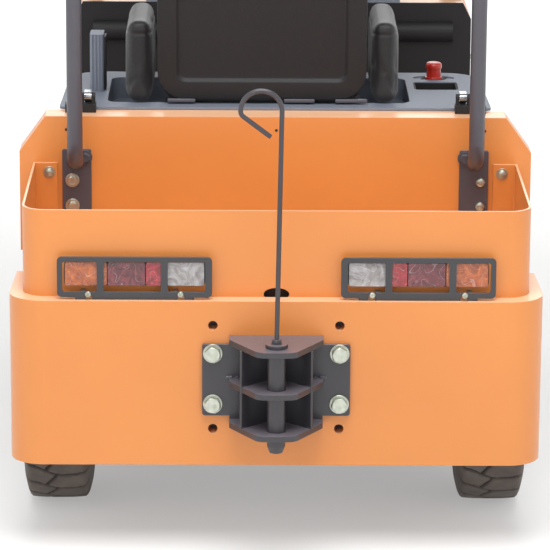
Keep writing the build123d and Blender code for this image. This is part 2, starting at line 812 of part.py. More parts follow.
# Canopy roof: a shallow moulded tray with a deep rim, on the hoops' top tubes
roof_half_width = half_width - roof_side
roof_low = roof_rail_z + post_radius
roof_mid_y = (post_y + front_post_y) / 2
roof_length = front_post_y - post_y + 2 * roof_overhang
with BuildPart() as canopy_roof:
    with BuildSketch(Plane.XY.offset(roof_low)):
        with Locations((0, roof_mid_y)):
            RectangleRounded(2 * roof_half_width, roof_length, roof_corner)
    extrude(amount=roof_height, taper=roof_taper)
    with BuildSketch(Plane.XY.offset(roof_low)):
        with Locations((0, roof_mid_y)):
            RectangleRounded(2 * roof_half_width, roof_length, roof_corner)
            RectangleRounded(2 * roof_half_width - 2 * roof_skin, roof_length - 2 * roof_skin,
                             roof_corner - roof_skin, mode=Mode.SUBTRACT)
    extrude(amount=-roof_rim)
canopy_roof.part.label = "canopy_roof"
export_step(canopy_roof.part, "parts/canopy_roof.step")

# Battery block standing on the rails inside the seat box
battery_side_gap = 106.0
battery_back_gap = 12.0
battery_front_gap = 40.0
battery_top_gap = 40.0
well_floor = deck_top - well_depth
battery_height = well_floor - deck_skin - battery_top_gap - rail_high
with BuildPart() as battery:
    with BuildSketch(Plane.XY.offset(rail_high)):
        with Locations((0, fold_y + battery_back_gap)):
            Rectangle(2 * (box_half - battery_side_gap),
                      box_length - battery_back_gap - battery_front_gap,
                      align=(Align.CENTER, Align.MIN))
    extrude(amount=battery_height)
battery.part.label = "battery"
export_step(battery.part, "parts/battery.step")

# Drive axle: tube, gear housing and motor, hung under the rails
axle_tube_radius = 42.0
hub_gap = 6.0
axle_flange_x = wheel_x - hub_length / 2 - hub_gap
housing_radius = 105.0
housing_length = 190.0
motor_radius = 66.0
motor_length = 240.0
with BuildPart() as drive_axle:
    for radius, reach in ((axle_tube_radius, axle_flange_x),
                          (spindle_radius, wheel_x + hub_length / 2),
                          (housing_radius, housing_length / 2)):
        with BuildSketch(Plane.YZ.offset(-reach)):
            with Locations((rear_axle_y, axle_height)):
                Circle(radius)
        extrude(amount=2 * reach)
    with BuildSketch(Plane.XZ.offset(-rear_axle_y)):
        with Locations((0, axle_height)):
            Circle(motor_radius)
    extrude(amount=-(housing_radius + motor_length))
    # Saddles up to the rails
    with BuildSketch(Plane.XY.offset(axle_height)):
        for side in (-1, 1):
            with Locations((side * rail_x, rear_axle_y)):
                Rectangle(rail_width, 2 * axle_tube_radius)
    extrude(amount=rail_low - axle_height)
drive_axle.part.label = "drive_axle"
export_step(drive_axle.part, "parts/drive_axle.step")

# Front axle: a beam with an eye at each end for the kingpins
beam_half_height = 30.0
beam_half_depth = 28.0
with BuildPart() as front_axle:
    with BuildSketch(Plane.XY.offset(axle_height - beam_half_height)):
        with Locations((0, front_axle_y)):
            Rectangle(2 * kingpin_x, 2 * beam_half_depth)
    extrude(amount=2 * beam_half_height)
    with BuildSketch(Plane.XY.offset(axle_height - eye_half_height)):
        for side in (-1, 1):
            with Locations((side * kingpin_x, front_axle_y)):
                Circle(eye_radius)
    extrude(amount=2 * eye_half_height)
    with BuildSketch(Plane.XY.offset(axle_height)):
        for side in (-1, 1):
            with Locations((side * rail_x, front_axle_y)):
                Rectangle(rail_width, 2 * beam_half_depth)
    extrude(amount=rail_low - axle_height)
    with BuildSketch(Plane.XY.offset(axle_height - eye_half_height)):
        for side in (-1, 1):
            with Locations((side * kingpin_x, front_axle_y)):
                Circle(kingpin_radius + pin_clearance)
    extrude(amount=2 * eye_half_height, mode=Mode.SUBTRACT)
front_axle.part.label = "front_axle"
export_step(front_axle.part, "parts/front_axle.step")

# Knuckles: ears above and below the eye, a pin through them, a spindle and a steering arm
ear_low = axle_height - eye_half_height - seat_gap - ear_thickness
ear_high = axle_height + eye_half_height + seat_gap + ear_thickness
web_in = kingpin_x + eye_radius + web_gap
web_out = wheel_x - hub_length / 2 - hub_gap
for side, name in ((-1, "knuckle_left"), (1, "knuckle_right")):
    with BuildPart() as knuckle:
        for low in (ear_low, ear_high - ear_thickness):
            with BuildSketch(Plane.XY.offset(low)):
                with Locations((side * kingpin_x, front_axle_y)):
                    Circle(eye_radius)
                with Locations((side * (kingpin_x + web_out) / 2, front_axle_y)):
                    Rectangle(web_out - kingpin_x, 2 * eye_radius)
            extrude(amount=ear_thickness)
        with BuildSketch(Plane.XY.offset(ear_low)):
            with Locations((side * (web_in + web_out) / 2, front_axle_y)):
                Rectangle(web_out - web_in, 2 * eye_radius)
        extrude(amount=ear_high - ear_low)
        with BuildSketch(Plane.XY.offset(ear_low)):
            with Locations((side * kingpin_x, front_axle_y)):
                Circle(kingpin_radius)
        extrude(amount=ear_high - ear_low)
        with BuildSketch(Plane.YZ.offset(side * web_out)):
            with Locations((front_axle_y, axle_height)):
                Circle(spindle_radius)
        extrude(amount=side * (wheel_x + hub_length / 2 - web_out))
        # Steering arm, pointing back and a little in
        with BuildSketch(Plane.XY.offset(ear_low)):
            Polygon((side * (kingpin_x - eye_radius), front_axle_y),
                    (side * (kingpin_x + eye_radius), front_axle_y),
                    (side * (kingpin_x - arm_inset + arm_half), front_axle_y - arm_reach),
                    (side * (kingpin_x - arm_inset - arm_half), front_axle_y - arm_reach),
                    align=None)
            with Locations((side * (kingpin_x - arm_inset), front_axle_y - arm_reach)):
                Circle(arm_half)
        extrude(amount=ear_thickness)
    knuckle.part.label = name
    export_step(knuckle.part, f"parts/{name}.step")

# Tie rod under the steering arms
tie_low = ear_low - seat_gap - 2 * tie_rod_radius
tie_x = kingpin_x - arm_inset
tie_y = front_axle_y - arm_reach
with BuildPart() as tie_rod:
    with BuildSketch(Plane.YZ.offset(-tie_x)):
        with Locations((tie_y, tie_low + tie_rod_radius)):
            Circle(tie_rod_radius)
    extrude(amount=2 * tie_x)
    with BuildSketch(Plane.XY.offset(tie_low)):
        for side in (-1, 1):
            with Locations((side * tie_x, tie_y)):
                Circle(tie_end_radius)
    extrude(amount=2 * tie_rod_radius)
tie_rod.part.label = "tie_rod"
export_step(tie_rod.part, "parts/tie_rod.step")


# Wheels: a tyre and a pressed rim each
def wheel_plane_at(side, axle_y):
    # Looks out along the axle: X of the sketch is outwards, Y is up
    return Plane(origin=(side * wheel_x, axle_y, axle_height), x_dir=(side, 0, 0),
                 z_dir=(0, -side, 0))


tyre_half = tyre_width / 2
tread_half = tyre_half - tread_inset
tyre_rings = ((-tyre_half + bead_inset, rim_radius + bead_inset), (-tyre_half, bulge_radius),
              (-tread_half - shoulder_step, tyre_radius - shoulder_drop),
              (-tread_half, tyre_radius), (tread_half, tyre_radius),
              (tread_half + shoulder_step, tyre_radius - shoulder_drop),
              (tyre_half, bulge_radius), (tyre_half - bead_inset, rim_radius + bead_inset))
with BuildPart() as tyre_form:
    for ring_x, ring_radius in tyre_rings:
        with BuildSketch(Plane.YZ.offset(ring_x)):
            RegularPolygon(ring_radius, tyre_sides)
    loft(ruled=True)
    with BuildSketch(Plane.YZ.offset(-tyre_half)):
        RegularPolygon(rim_radius, tyre_sides, major_radius=False)
    extrude(amount=tyre_width, mode=Mode.SUBTRACT)
for end, axle_y in (("rear", rear_axle_y), ("front", front_axle_y)):
    for side, hand in ((-1, "left"), (1, "right")):
        outward = wheel_plane_at(side, axle_y)
        with BuildPart() as tyre:
            with Locations((side * wheel_x, axle_y, axle_height)):
                add(tyre_form.part)
        tyre.part.label = f"tyre_{end}_{hand}"
        export_step(tyre.part, f"parts/tyre_{end}_{hand}.step")
        axle_line = Axis((side * wheel_x, axle_y, axle_height), (1, 0, 0))
        with BuildPart() as rim:
            with BuildSketch(outward):
                barrel = tyre_half - rim_edge_inset
                with Locations((0, rim_radius - rim_wall / 2)):
                    Rectangle(2 * barrel, rim_wall)
                with Locations((rim_disc_inset, (rim_radius + hub_radius) / 2 - rim_wall / 2)):
                    Rectangle(rim_disc, rim_radius - hub_radius)
                with Locations((0, (spindle_radius + pin_clearance + hub_radius) / 2)):
                    Rectangle(hub_length, hub_radius - spindle_radius - pin_clearance)
            revolve(axis=axle_line)
            with BuildSketch(Plane(origin=outward.origin, x_dir=(0, 1, 0), z_dir=(1, 0, 0))):
                with PolarLocations((rim_radius - rim_wall + hub_radius) / 2, hand_hole_count):
                    Circle(hand_hole_radius)
            extrude(amount=tyre_half, both=True, mode=Mode.SUBTRACT)
        rim.part.label = f"rim_{end}_{hand}"
        export_step(rim.part, f"parts/rim_{end}_{hand}.step")

# Seat deck: a moulded lid with a sunken well for the seat and pockets for the controls
deck_back_y = fold_y + deck_back_gap
well_back_y = fold_y + well_from_fold
well_front_y = deck_front_y - well_front_gap
well_x = (well_left + well_right) / 2
well_width = well_right - well_left
well_mid_y = (well_back_y + well_front_y) / 2
well_length = well_front_y - well_back_y
stop_inset = 111.0
stop_front_gap = 58.0
stop_x = deck_half_width - stop_inset
stop_y = deck_front_y - stop_front_gap
stop_pocket_width = 96.0
stop_pocket_length = 46.0
stop_pocket_depth = 3.0
switch_pocket_width = 100.0
switch_pocket_length = 86.0
switch_pocket_depth = 28.0
switch_pocket_gap = 24.0
switch_y = stop_y - stop_pocket_length / 2 - switch_pocket_gap - switch_pocket_length / 2
switch_corner = 10.0
with BuildPart() as seat_deck:
    with BuildSketch(Plane.XY.offset(deck_low - skirt_depth)) as deck_plan:
        Polygon((-deck_half_width, deck_back_y), (-deck_half_width + deck_taper, deck_front_y),
                (deck_half_width - deck_taper, deck_front_y), (deck_half_width, deck_back_y),
                align=None)
        fillet(deck_plan.vertices().group_by(Axis.Y)[-1], deck_front_corner)
        fillet(deck_plan.vertices().group_by(Axis.Y)[0], deck_back_corner)
    extrude(amount=skirt_depth + deck_skin)
    # Hollow below, leaving a skirt round the front only
    with BuildSketch(Plane.XY.offset(deck_low - skirt_depth)):
        offset(deck_plan.sketch, amount=-skirt_wall)
        with Locations((0, deck_front_y - skirt_length)):
            Rectangle(overall_width, 2 * box_length, align=(Align.CENTER, Align.MAX))
    extrude(amount=skirt_depth, mode=Mode.SUBTRACT)
    # Walls of the well and of the switch pocket hang below the skin
    with BuildSketch(Plane.XY.offset(well_floor - deck_skin)):
        with Locations((well_x, well_mid_y)):
            RectangleRounded(well_width + 2 * deck_skin, well_length + 2 * deck_skin,
                             well_corner + deck_skin)
    extrude(amount=well_depth)
    with BuildSketch(Plane.XY.offset(deck_top - switch_pocket_depth - deck_skin)):
        with Locations((stop_x, switch_y)):
            RectangleRounded(switch_pocket_width + 2 * deck_skin,
                             switch_pocket_length + 2 * deck_skin, switch_corner + deck_skin)
    extrude(amount=switch_pocket_depth)
    with BuildSketch(Plane.XY.offset(well_floor)):
        with Locations((well_x, well_mid_y)):
            RectangleRounded(well_width, well_length, well_corner)
    extrude(amount=well_depth, mode=Mode.SUBTRACT)
    with BuildSketch(Plane.XY.offset(deck_top - switch_pocket_depth)):
        with Locations((stop_x, switch_y)):
            RectangleRounded(switch_pocket_width, switch_pocket_length, switch_corner)
    extrude(amount=switch_pocket_depth, mode=Mode.SUBTRACT)
    with BuildSketch(Plane.XY.offset(deck_top - stop_pocket_depth)):
        with Locations((stop_x, stop_y)):
            Ellipse(stop_pocket_width / 2, stop_pocket_length / 2)
    extrude(amount=stop_pocket_depth, mode=Mode.SUBTRACT)
seat_deck.part.label = "seat_deck"
export_step(seat_deck.part, "parts/seat_deck.step")

# Hinges: a block with two lugs and a pin on the body, a bent leaf on the deck
hinge_width = 68.0
hinge_length = 30.0
hinge_base_height = 18.0
hinge_corner = 2.0
hinge_front_gap = 2.0
hinge_offset = 16.0
lug_width = 7.0
lug_radius = 9.0
lug_spread = 25.0
hinge_pin_radius = 4.0
hinge_block_y = fold_y - hinge_front_gap - hinge_length / 2
lug_x = hinge_x - hinge_offset
with BuildPart() as hinge_blocks:
    for side in (-1, 1):
        with BuildSketch(Plane.XY.offset(body_top)):
            with Locations((side * hinge_x, hinge_block_y)):
                RectangleRounded(hinge_width, hinge_length, hinge_corner)
        extrude(amount=hinge_base_height)
        for end in (-1, 1):
            lug_low = side * lug_x + end * lug_spread / 2 - lug_width / 2
            with BuildSketch(Plane.YZ.offset(lug_low)):
                with Locations((hinge_y, hinge_z)):
                    Circle(lug_radius)
                with Locations((hinge_y, body_top)):
                    Rectangle(2 * lug_radius, hinge_rise, align=(Align.CENTER, Align.MIN))
            extrude(amount=lug_width)
        with BuildSketch(Plane.YZ.offset(side * lug_x - lug_spread / 2)):
            with Locations((hinge_y, hinge_z)):
                Circle(hinge_pin_radius)
        extrude(amount=lug_spread)
hinge_blocks.part.label = "hinge_blocks"
export_step(hinge_blocks.part, "parts/hinge_blocks.step")

leaf_thickness = 4.0
leaf_knuckle_radius = 10.0
leaf_side_gap = 1.0
leaf_drop_ahead = 26.0
leaf_foot = 44.0
leaf_width = lug_spread - lug_width - 2 * leaf_side_gap
with BuildPart() as hinge_leaves:
    for side in (-1, 1):
        with BuildSketch(Plane.YZ.offset(side * lug_x - leaf_width / 2)):
            knee_y = hinge_y + leaf_drop_ahead
            top_z = hinge_z + leaf_knuckle_radius
            Polygon((hinge_y, top_z - leaf_thickness), (hinge_y, top_z), (knee_y, top_z),
                    (knee_y + leaf_thickness, deck_top + leaf_thickness),
                    (knee_y + leaf_foot, deck_top + leaf_thickness),
                    (knee_y + leaf_foot, deck_top), (knee_y, deck_top),
                    (knee_y - leaf_thickness, top_z - leaf_thickness), align=None)
            with Locations((hinge_y, hinge_z)):
                Circle(leaf_knuckle_radius)
                Circle(hinge_pin_radius + pin_clearance, mode=Mode.SUBTRACT)
        extrude(amount=leaf_width)
hinge_leaves.part.label = "hinge_leaves"
export_step(hinge_leaves.part, "parts/hinge_leaves.step")

# Seat frame: slides in the well and a pan under the cushion
cushion_back_y = well_back_y + cushion_back_gap
cushion_low = deck_top + seat_rise
slide_spread = 150.0
slide_width = 40.0
slide_end_gap = 20.0
pan_height = 14.0
pan_inset = 20.0
with BuildPart() as seat_frame:
    with BuildSketch(Plane.XY.offset(well_floor)):
        for side in (-1, 1):
            with Locations((seat_x + side * slide_spread, well_mid_y)):
                Rectangle(slide_width, well_length - 2 * slide_end_gap)
    extrude(amount=cushion_low - pan_height - well_floor)
    with BuildSketch(Plane.XY.offset(cushion_low - pan_height)):
        with Locations((seat_x, well_mid_y)):
            RectangleRounded(cushion_width - 2 * pan_inset, well_length - 2 * pan_inset,
                             pan_inset)
    extrude(amount=pan_height)
seat_frame.part.label = "seat_frame"
export_step(seat_frame.part, "parts/seat_frame.step")

with BuildPart() as seat_cushion:
    with BuildSketch(Plane.XY.offset(cushion_low)):
        with Locations((seat_x, cushion_back_y + cushion_length / 2)):
            RectangleRounded(cushion_width, cushion_length, cushion_corner)
    extrude(amount=cushion_height)
    fillet(seat_cushion.faces().sort_by(Axis.Z)[-1].edges(), cushion_edge)
seat_cushion.part.label = "seat_cushion"
export_step(seat_cushion.part, "parts/seat_cushion.step")

lean_back = radians(back_lean)
foot_y = cushion_back_y - seat_gap
top_y = foot_y - back_height * sin(lean_back)
top_z = cushion_low + back_height * cos(lean_back)
with BuildPart() as seat_back:
    with BuildSketch(Plane.YZ.offset(seat_x - cushion_width / 2)):
        Polygon((foot_y, cushion_low), (top_y, top_z), (top_y - back_thickness, top_z),
                (foot_y - back_thickness, cushion_low), align=None)
    extrude(amount=cushion_width)
    upper_edges = seat_back.faces().sort_by(Axis.Z)[-1].edges()
    fillet(upper_edges, back_edge)
seat_back.part.label = "seat_back"
export_step(seat_back.part, "parts/seat_back.step")

# Hip pads standing either side of the seat
with BuildPart() as hip_pads:
    for side in (-1, 1):
        with BuildSketch(Plane.YZ.offset(seat_x + side * (cushion_width / 2 + pad_gap))):
            Polygon((foot_y - back_thickness, deck_top), (foot_y + pad_length, deck_top),
                    (foot_y + pad_length - pad_width, deck_top + pad_height),
                    (foot_y - back_thickness, deck_top + pad_height), align=None)
        extrude(amount=side * pad_width)
    fillet(hip_pads.edges().filter_by(Axis.X).group_by(Axis.Z)[-1], pad_edge)
hip_pads.part.label = "hip_pads"
export_step(hip_pads.part, "parts/hip_pads.step")

# Emergency stop in its pocket on the right, and a ribbed grip on the left
stop_base_radius = 19.5
stop_base_height = 6.0
stop_stem_radius = 16.5
stop_stem_height = 20.0
stop_head_radius = 18.5
stop_head_height = 14.0
stop_low = deck_top - stop_pocket_depth
with BuildPart() as emergency_stop:
    for low, radius, height in ((0, stop_base_radius, stop_base_height),
                                (stop_base_height, stop_stem_radius, stop_stem_height),
                                (stop_base_height + stop_stem_height, stop_head_radius,
                                 stop_head_height)):
        with BuildSketch(Plane.XY.offset(stop_low + low)):
            with Locations((stop_x, stop_y)):
                Circle(radius)
        extrude(amount=height)
    fillet(emergency_stop.faces().sort_by(Axis.Z)[-1].edges(), stop_head_height / 2)
emergency_stop.part.label = "emergency_stop"
export_step(emergency_stop.part, "parts/emergency_stop.step")

lever_inset = 76.0
lever_x = -deck_half_width + lever_inset
lever_from_fold = 196.0
lever_y = fold_y + lever_from_fold
lever_width = 31.0
lever_length = 60.0
lever_height = 130.0
lever_corner = 7.0
rib_depth = 2.0
rib_width = 3.0
rib_pitch = 8.0
with BuildPart() as deck_lever:
    with BuildSketch(Plane.XY.offset(deck_top)):
        with Locations((lever_x, lever_y)):
            RectangleRounded(lever_width, lever_length, lever_corner)
            for end in (-1, 1):
                with Locations((0, end * lever_length / 2)):
                    with GridLocations(rib_pitch, 1, 3, 1):
                        Rectangle(rib_width, 2 * rib_depth, mode=Mode.SUBTRACT)
    extrude(amount=lever_height)
deck_lever.part.label = "deck_lever"
export_step(deck_lever.part, "parts/deck_lever.step")

# Pedals on the footwell floor
pedal_reach = 150.0
pedal_foot = 15.0
pedal_rise = 130.0
pedal_back = 25.0
pedal_face = 10.0
with BuildPart() as pedals:
    for pedal_x, pedal_width in ((-dash_width / 10, 90.0), (dash_width / 5, 60.0)):
        with BuildSketch(Plane.YZ.offset(pedal_x - pedal_width / 2)):
            Polygon((toe_y - pedal_reach, floor_top),
                    (toe_y - pedal_reach + pedal_foot, floor_top),
                    (toe_y - pedal_back, floor_top + pedal_rise),
                    (toe_y - pedal_back - pedal_face, floor_top + pedal_rise + pedal_face),
                    align=None)
        extrude(amount=pedal_width)
pedals.part.label = "pedals"
export_step(pedals.part, "parts/pedals.step")
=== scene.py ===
# %% [markdown]
# An airport baggage tow tractor, dressed for a studio picture.
# The CAD part already has the right sizes and moving bodies. This script gives each
# solid its real finish, then adds what is too fine for CAD: bolts, tread, trim and padding.
# Everything is in metres: X to the right, Y forward, Z up, with the wheels on the floor.

import functools
import json
import math
import random

import bmesh
import bpy
from mathutils import Matrix, Vector

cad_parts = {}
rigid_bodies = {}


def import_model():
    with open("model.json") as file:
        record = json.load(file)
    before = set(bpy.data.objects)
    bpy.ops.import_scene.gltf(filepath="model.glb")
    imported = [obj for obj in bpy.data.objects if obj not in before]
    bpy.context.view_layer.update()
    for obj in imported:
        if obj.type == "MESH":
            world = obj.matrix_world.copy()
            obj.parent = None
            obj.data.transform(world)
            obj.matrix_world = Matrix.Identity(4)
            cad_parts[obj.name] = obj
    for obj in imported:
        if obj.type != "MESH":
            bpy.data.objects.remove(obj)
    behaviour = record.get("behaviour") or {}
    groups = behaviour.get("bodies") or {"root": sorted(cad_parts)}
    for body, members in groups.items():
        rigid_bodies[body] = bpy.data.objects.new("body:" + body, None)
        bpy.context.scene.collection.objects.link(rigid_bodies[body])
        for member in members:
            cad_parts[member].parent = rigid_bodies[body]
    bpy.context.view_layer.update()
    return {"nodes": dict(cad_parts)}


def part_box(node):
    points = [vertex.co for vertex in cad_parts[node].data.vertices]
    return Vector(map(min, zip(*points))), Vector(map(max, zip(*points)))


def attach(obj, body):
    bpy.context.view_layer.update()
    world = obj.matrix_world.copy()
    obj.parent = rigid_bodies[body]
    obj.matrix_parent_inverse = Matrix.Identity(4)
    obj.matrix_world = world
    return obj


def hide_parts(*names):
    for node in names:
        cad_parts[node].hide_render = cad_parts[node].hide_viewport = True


for spare in list(bpy.data.objects):
    bpy.data.objects.remove(spare)
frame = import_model()
tractor = frame["nodes"]
rear_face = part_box("rear_bumper")[0].y
random.seed(7)

# %% [markdown]
# Most sizes on this machine were taken from its back end, so places along it are
# easiest to read as millimetres ahead of the bumper's back face.


# %% Places and colours
def mm(*values):
    """Millimetres to metres: one number, or a list of them."""
    return values[0] / 1000 if len(values) == 1 else [v / 1000 for v in values]


def ahead(distance):
    """The Y of a place that is so many millimetres ahead of the bumper's back face."""
    return rear_face + distance / 1000


def linear(code):
    """An sRGB hex colour as the linear RGBA that shaders take."""
    parts = [int(code[i:i + 2], 16) / 255 for i in (0, 2, 4)]
    return [p / 12.92 if p <= 0.04045 else ((p + 0.055) / 1.055) ** 2.4 for p in parts] + [1.0]


def repeats(millimetres):
    """How often a pattern of that real size repeats in a metre of Object coordinates."""
    return 1000.0 / millimetres


print("tray flange starts at", round(ahead(471), 4))

# %% [markdown]
# A material is a small network of nodes. One helper adds a node, sets its values and
# wires its inputs, so each finish below reads like a list of what the surface has.


# %% Add a node
def plug(target, wires):
    """Links sources to the sockets of one node."""
    for key, source in wires.items():
        target.id_data.links.new(source, target.inputs[key])


def add(tree, kind, values=None, wires=None):
    """Adds one shader node: values are settings or socket values, wires incoming links."""
    made = tree.nodes.new("ShaderNode" + kind)
    for key, value in (values or {}).items():
        if isinstance(key, int) or key in made.inputs:
            made.inputs[key].default_value = value
        else:
            setattr(made, key, value)
    plug(made, wires or {})
    return made


def new_finish(name, **shader_values):
    """Gives an empty material, what adds its nodes, its shader and its coordinates."""
    finish = bpy.data.materials.new(name)
    finish.use_nodes = True
    finish.node_tree.nodes.clear()
    node = functools.partial(add, finish.node_tree)
    shader = node("BsdfPrincipled", shader_values)
    node("OutputMaterial", wires={"Surface": shader.outputs[0]})
    place = node("TexCoord").outputs["Object"]
    return finish, node, shader, place


finishes = {}
print("node helper ready")

# %% [markdown]
# Enamel on steel is the main finish: orange body, black frame, dark coupling, grey posts.
# Sprayed enamel is never quite even. It has a fine orange-peel ripple, slow changes of
# tone where the coat is thicker, and it rubs lighter along the edges. Faces that look up
# are painted lighter as well, as a painted highlight of the light from above.
# A Bevel node rounds the shading of sharp CAD edges without changing them.


# %% Enamel
def enamel(slot, name, coat, shade, worn_and_lit_tone, roughness, peel, ripple, rub, top_highlight=0.5):
    """A sprayed coat: coat and shade are its tones, the third tone is its worn edge and its
    painted top highlight, peel in mm. Faces that look up lean to that third tone as a
    painted highlight, by as much as the last argument."""
    finish, node, shader, place = new_finish(name, Roughness=roughness, IOR=1.5)
    shader.inputs["Coat Weight"].default_value = 0.4
    shader.inputs["Coat Roughness"].default_value = 0.25
    slow = node("TexNoise", {"Scale": repeats(420), "Detail": 4.0},
                {"Vector": place}).outputs["Fac"]
    tone = node("MapRange", {"From Min": 0.35, "From Max": 0.65}, {"Value": slow}).outputs[0]
    paint = node("Mix", {"data_type": "RGBA", 6: linear(coat), 7: linear(shade)},
                 {0: tone}).outputs[2]
    soft = node("Bevel", {"samples": 4, "Radius": mm(2.2)}).outputs[0]
    flat = node("NewGeometry").outputs["True Normal"]
    turn = node("VectorMath", {"operation": "DOT_PRODUCT"}, {0: soft, 1: flat}).outputs["Value"]
    edge = node("MapRange", {"From Min": 0.985, "From Max": 0.88, "To Max": rub},
                {"Value": turn}).outputs[0]
    patch = node("TexNoise", {"Scale": repeats(22), "Detail": 5.0},
                 {"Vector": place}).outputs["Fac"]
    broken = node("Math", {"operation": "MULTIPLY"}, {0: edge, 1: patch}).outputs[0]
    # Painted highlight: faces that look up are mixed towards the pale third tone.
    facing = node("TexCoord").outputs["Normal"]
    upward = node("SeparateXYZ", wires={0: facing}).outputs["Z"]
    painted_top_highlight = node("MapRange", {"From Min": 0.8, "From Max": 1.0, "To Max": top_highlight},
                   {"Value": upward}).outputs[0]
    pale = node("Math", {"operation": "MAXIMUM"}, {0: painted_top_highlight, 1: broken}).outputs[0]
    colour = node("Mix", {"data_type": "RGBA", 7: linear(worn_and_lit_tone)}, {0: pale, 6: paint}).outputs[2]
    skin = node("TexNoise", {"Scale": repeats(peel), "Detail": 2.0},
                {"Vector": place}).outputs["Fac"]
    bump = node("Bump", {"Strength": ripple, "Distance": mm(0.6)},
                {"Height": skin, "Normal": soft}).outputs[0]
    gloss = node("MapRange", {"To Min": roughness - 0.06, "To Max": roughness + 0.1},
                 {"Value": patch}).outputs[0]
    plug(shader, {"Base Color": colour, "Normal": bump, "Roughness": gloss})
    finishes[slot] = finish
    return finish


# Satin enamel on sheet steel: warm and almost matt, a little paler on its worn edges,
# and painted much paler on its tops as a painted highlight.
# The real peel is about 2 mm; it is drawn at 5 mm so that it shows.
enamel("orange_paint", "orange_satin_enamel", "D0813C", "CB7C38", "F0C19B", 0.42, 5, 0.12,
       0.6, 0.75)
# Black chassis enamel: brushed on thickly, half shiny, greyer at the edges.
enamel("frame_paint", "black_chassis_enamel", "2B2A2E", "262529", "6B6A6E", 0.42, 6, 0.2, 0.5)
# Dark grey enamel on thick flame-cut plate, with a slight violet cast.
enamel("coupling_paint", "dark_coupling_enamel", "2F2C32", "29272C", "8A828C", 0.4, 5, 0.22, 0.4)
# Powder coat on tube: even, slightly blue grey, with a fine pebble.
enamel("post_paint", "grey_powder_coat", "45434B", "3F3E45", "7A7A82", 0.45, 3.5, 0.25, 0.3)
# Light enamel on pressed wheel rims.
enamel("rim_paint", "light_rim_enamel", "C9C9C4", "BDBDB7", "DEDED9", 0.4, 4, 0.15, 0.4)
# Paint over sand-cast iron: the mould's grain shows through as a coarse pebble.
enamel("cast_housing", "painted_cast_iron", "3A3A3D", "313134", "6A6A6C", 0.55, 3, 0.7, 0.5)
print("enamels:", sorted(finishes))

# %% [markdown]
# The deck, dashboard, pedals and seat are moulded plastics and vinyl. Their moulds are
# etched, so they carry a grain: Voronoi cells, and the distance to a cell's edge makes
# the fine lines between them.


# %% Moulded plastic and vinyl
def grained(slot, name, face, low, roughness, cell, depth, sheen=0.0):
    """An etched or embossed skin: cell is the grain's width in mm."""
    finish, node, shader, place = new_finish(name, Roughness=roughness, IOR=1.5)
    warp = node("TexNoise", {"Scale": repeats(cell * 3), "Detail": 2.0},
                {"Vector": place}).outputs["Color"]
    bent = node("VectorMath", {"operation": "MULTIPLY_ADD", 1: [mm(cell)] * 3},
                {0: warp, 2: place}).outputs[0]
    line = node("TexVoronoi", {"feature": "DISTANCE_TO_EDGE", "Scale": repeats(cell)},
                {"Vector": bent}).outputs[0]
    skin = node("MapRange", {"From Max": 0.14}, {"Value": line}).outputs[0]
    slow = node("TexNoise", {"Scale": repeats(150), "Detail": 6.0},
                {"Vector": place}).outputs["Fac"]
    dust = node("MapRange", {"From Min": 0.4, "From Max": 0.7, "To Max": 0.5},
                {"Value": slow}).outputs[0]
    shade = node("Mix", {"data_type": "RGBA", 6: linear(low), 7: linear(face)},
                 {0: skin}).outputs[2]
    colour = node("Mix", {"data_type": "RGBA", 7: linear(face)}, {0: dust, 6: shade}).outputs[2]
    soft = node("Bevel", {"samples": 4, "Radius": mm(2)}).outputs[0]
    bump = node("Bump", {"Strength": depth, "Distance": mm(0.5)},
                {"Height": skin, "Normal": soft}).outputs[0]
    shader.inputs["Sheen Weight"].default_value = sheen
    shader.inputs["Specular IOR Level"].default_value = 0.35
    plug(shader, {"Base Color": colour, "Normal": bump})
    finishes[slot] = finish
    return finish


# Rotomoulded polyethylene: blue grey, matt, with a fine leather grain.
# The real grain is 1 to 2 mm; it is drawn at 4 mm so that it shows.
grained("grey_moulding", "grey_moulded_deck", "737985", "656B77", 0.5, 4, 0.3)
# Black polypropylene: mudguards, lamp bodies, hinge blocks, pedals and wheel.
grained("black_plastic", "black_moulded_plastic", "1F1E20", "18171A", 0.5, 3, 0.25)
# Embossed vinyl on foam: soft, slightly shiny, with a hide-like grain.
grained("seat_vinyl", "black_grained_vinyl", "1C1B1E", "121113", 0.45, 5, 0.4, 0.15)
print("moulded skins:", len(finishes))

# %% [markdown]
# Rubber is the darkest and dullest surface. A worn tyre is a brownish grey, because
# floor dust sits in its pores, and its colour gets darker with a groove's depth, nearly black at
# the bottom.
# The dust is one slow noise, and a second, fine noise breaks the surface up.

# %% Tyre rubber
rubber, node, shader, place = new_finish("dusty_tyre_rubber", Roughness=0.78, IOR=1.5)
dust = node("TexNoise", {"Scale": repeats(60), "Detail": 8.0, "Roughness": 0.65},
            {"Vector": place}).outputs["Fac"]
mask = node("MapRange", {"From Min": 0.35, "From Max": 0.68}, {"Value": dust}).outputs[0]
block_tone = node("Mix", {"data_type": "RGBA", 6: linear("4A423D"), 7: linear("5F564F")},
                  {0: mask}).outputs[2]
depth = node("Attribute", {"attribute_name": "groove"}).outputs["Fac"]
colour = node("Mix", {"data_type": "RGBA", 7: linear("241F1C")},
              {0: depth, 6: block_tone}).outputs[2]
pores = node("TexNoise", {"Scale": repeats(3), "Detail": 3.0}, {"Vector": place}).outputs["Fac"]
soft = node("Bevel", {"samples": 4, "Radius": mm(1.2)}).outputs[0]
bump = node("Bump", {"Strength": 0.35, "Distance": mm(0.8)},
            {"Height": pores, "Normal": soft}).outputs[0]
plug(shader, {"Base Color": colour, "Normal": bump})
finishes["tyre_rubber"] = rubber
print("tyre rubber ready")

# %% [markdown]
# Bare metals: screws and washers are zinc plated, which is pale with a faint green or
# yellow tint; hinge leaves and lamp rims are chromed. A metal's colour is its
# reflection, so what tells them apart is roughness and the marks of how they were made.


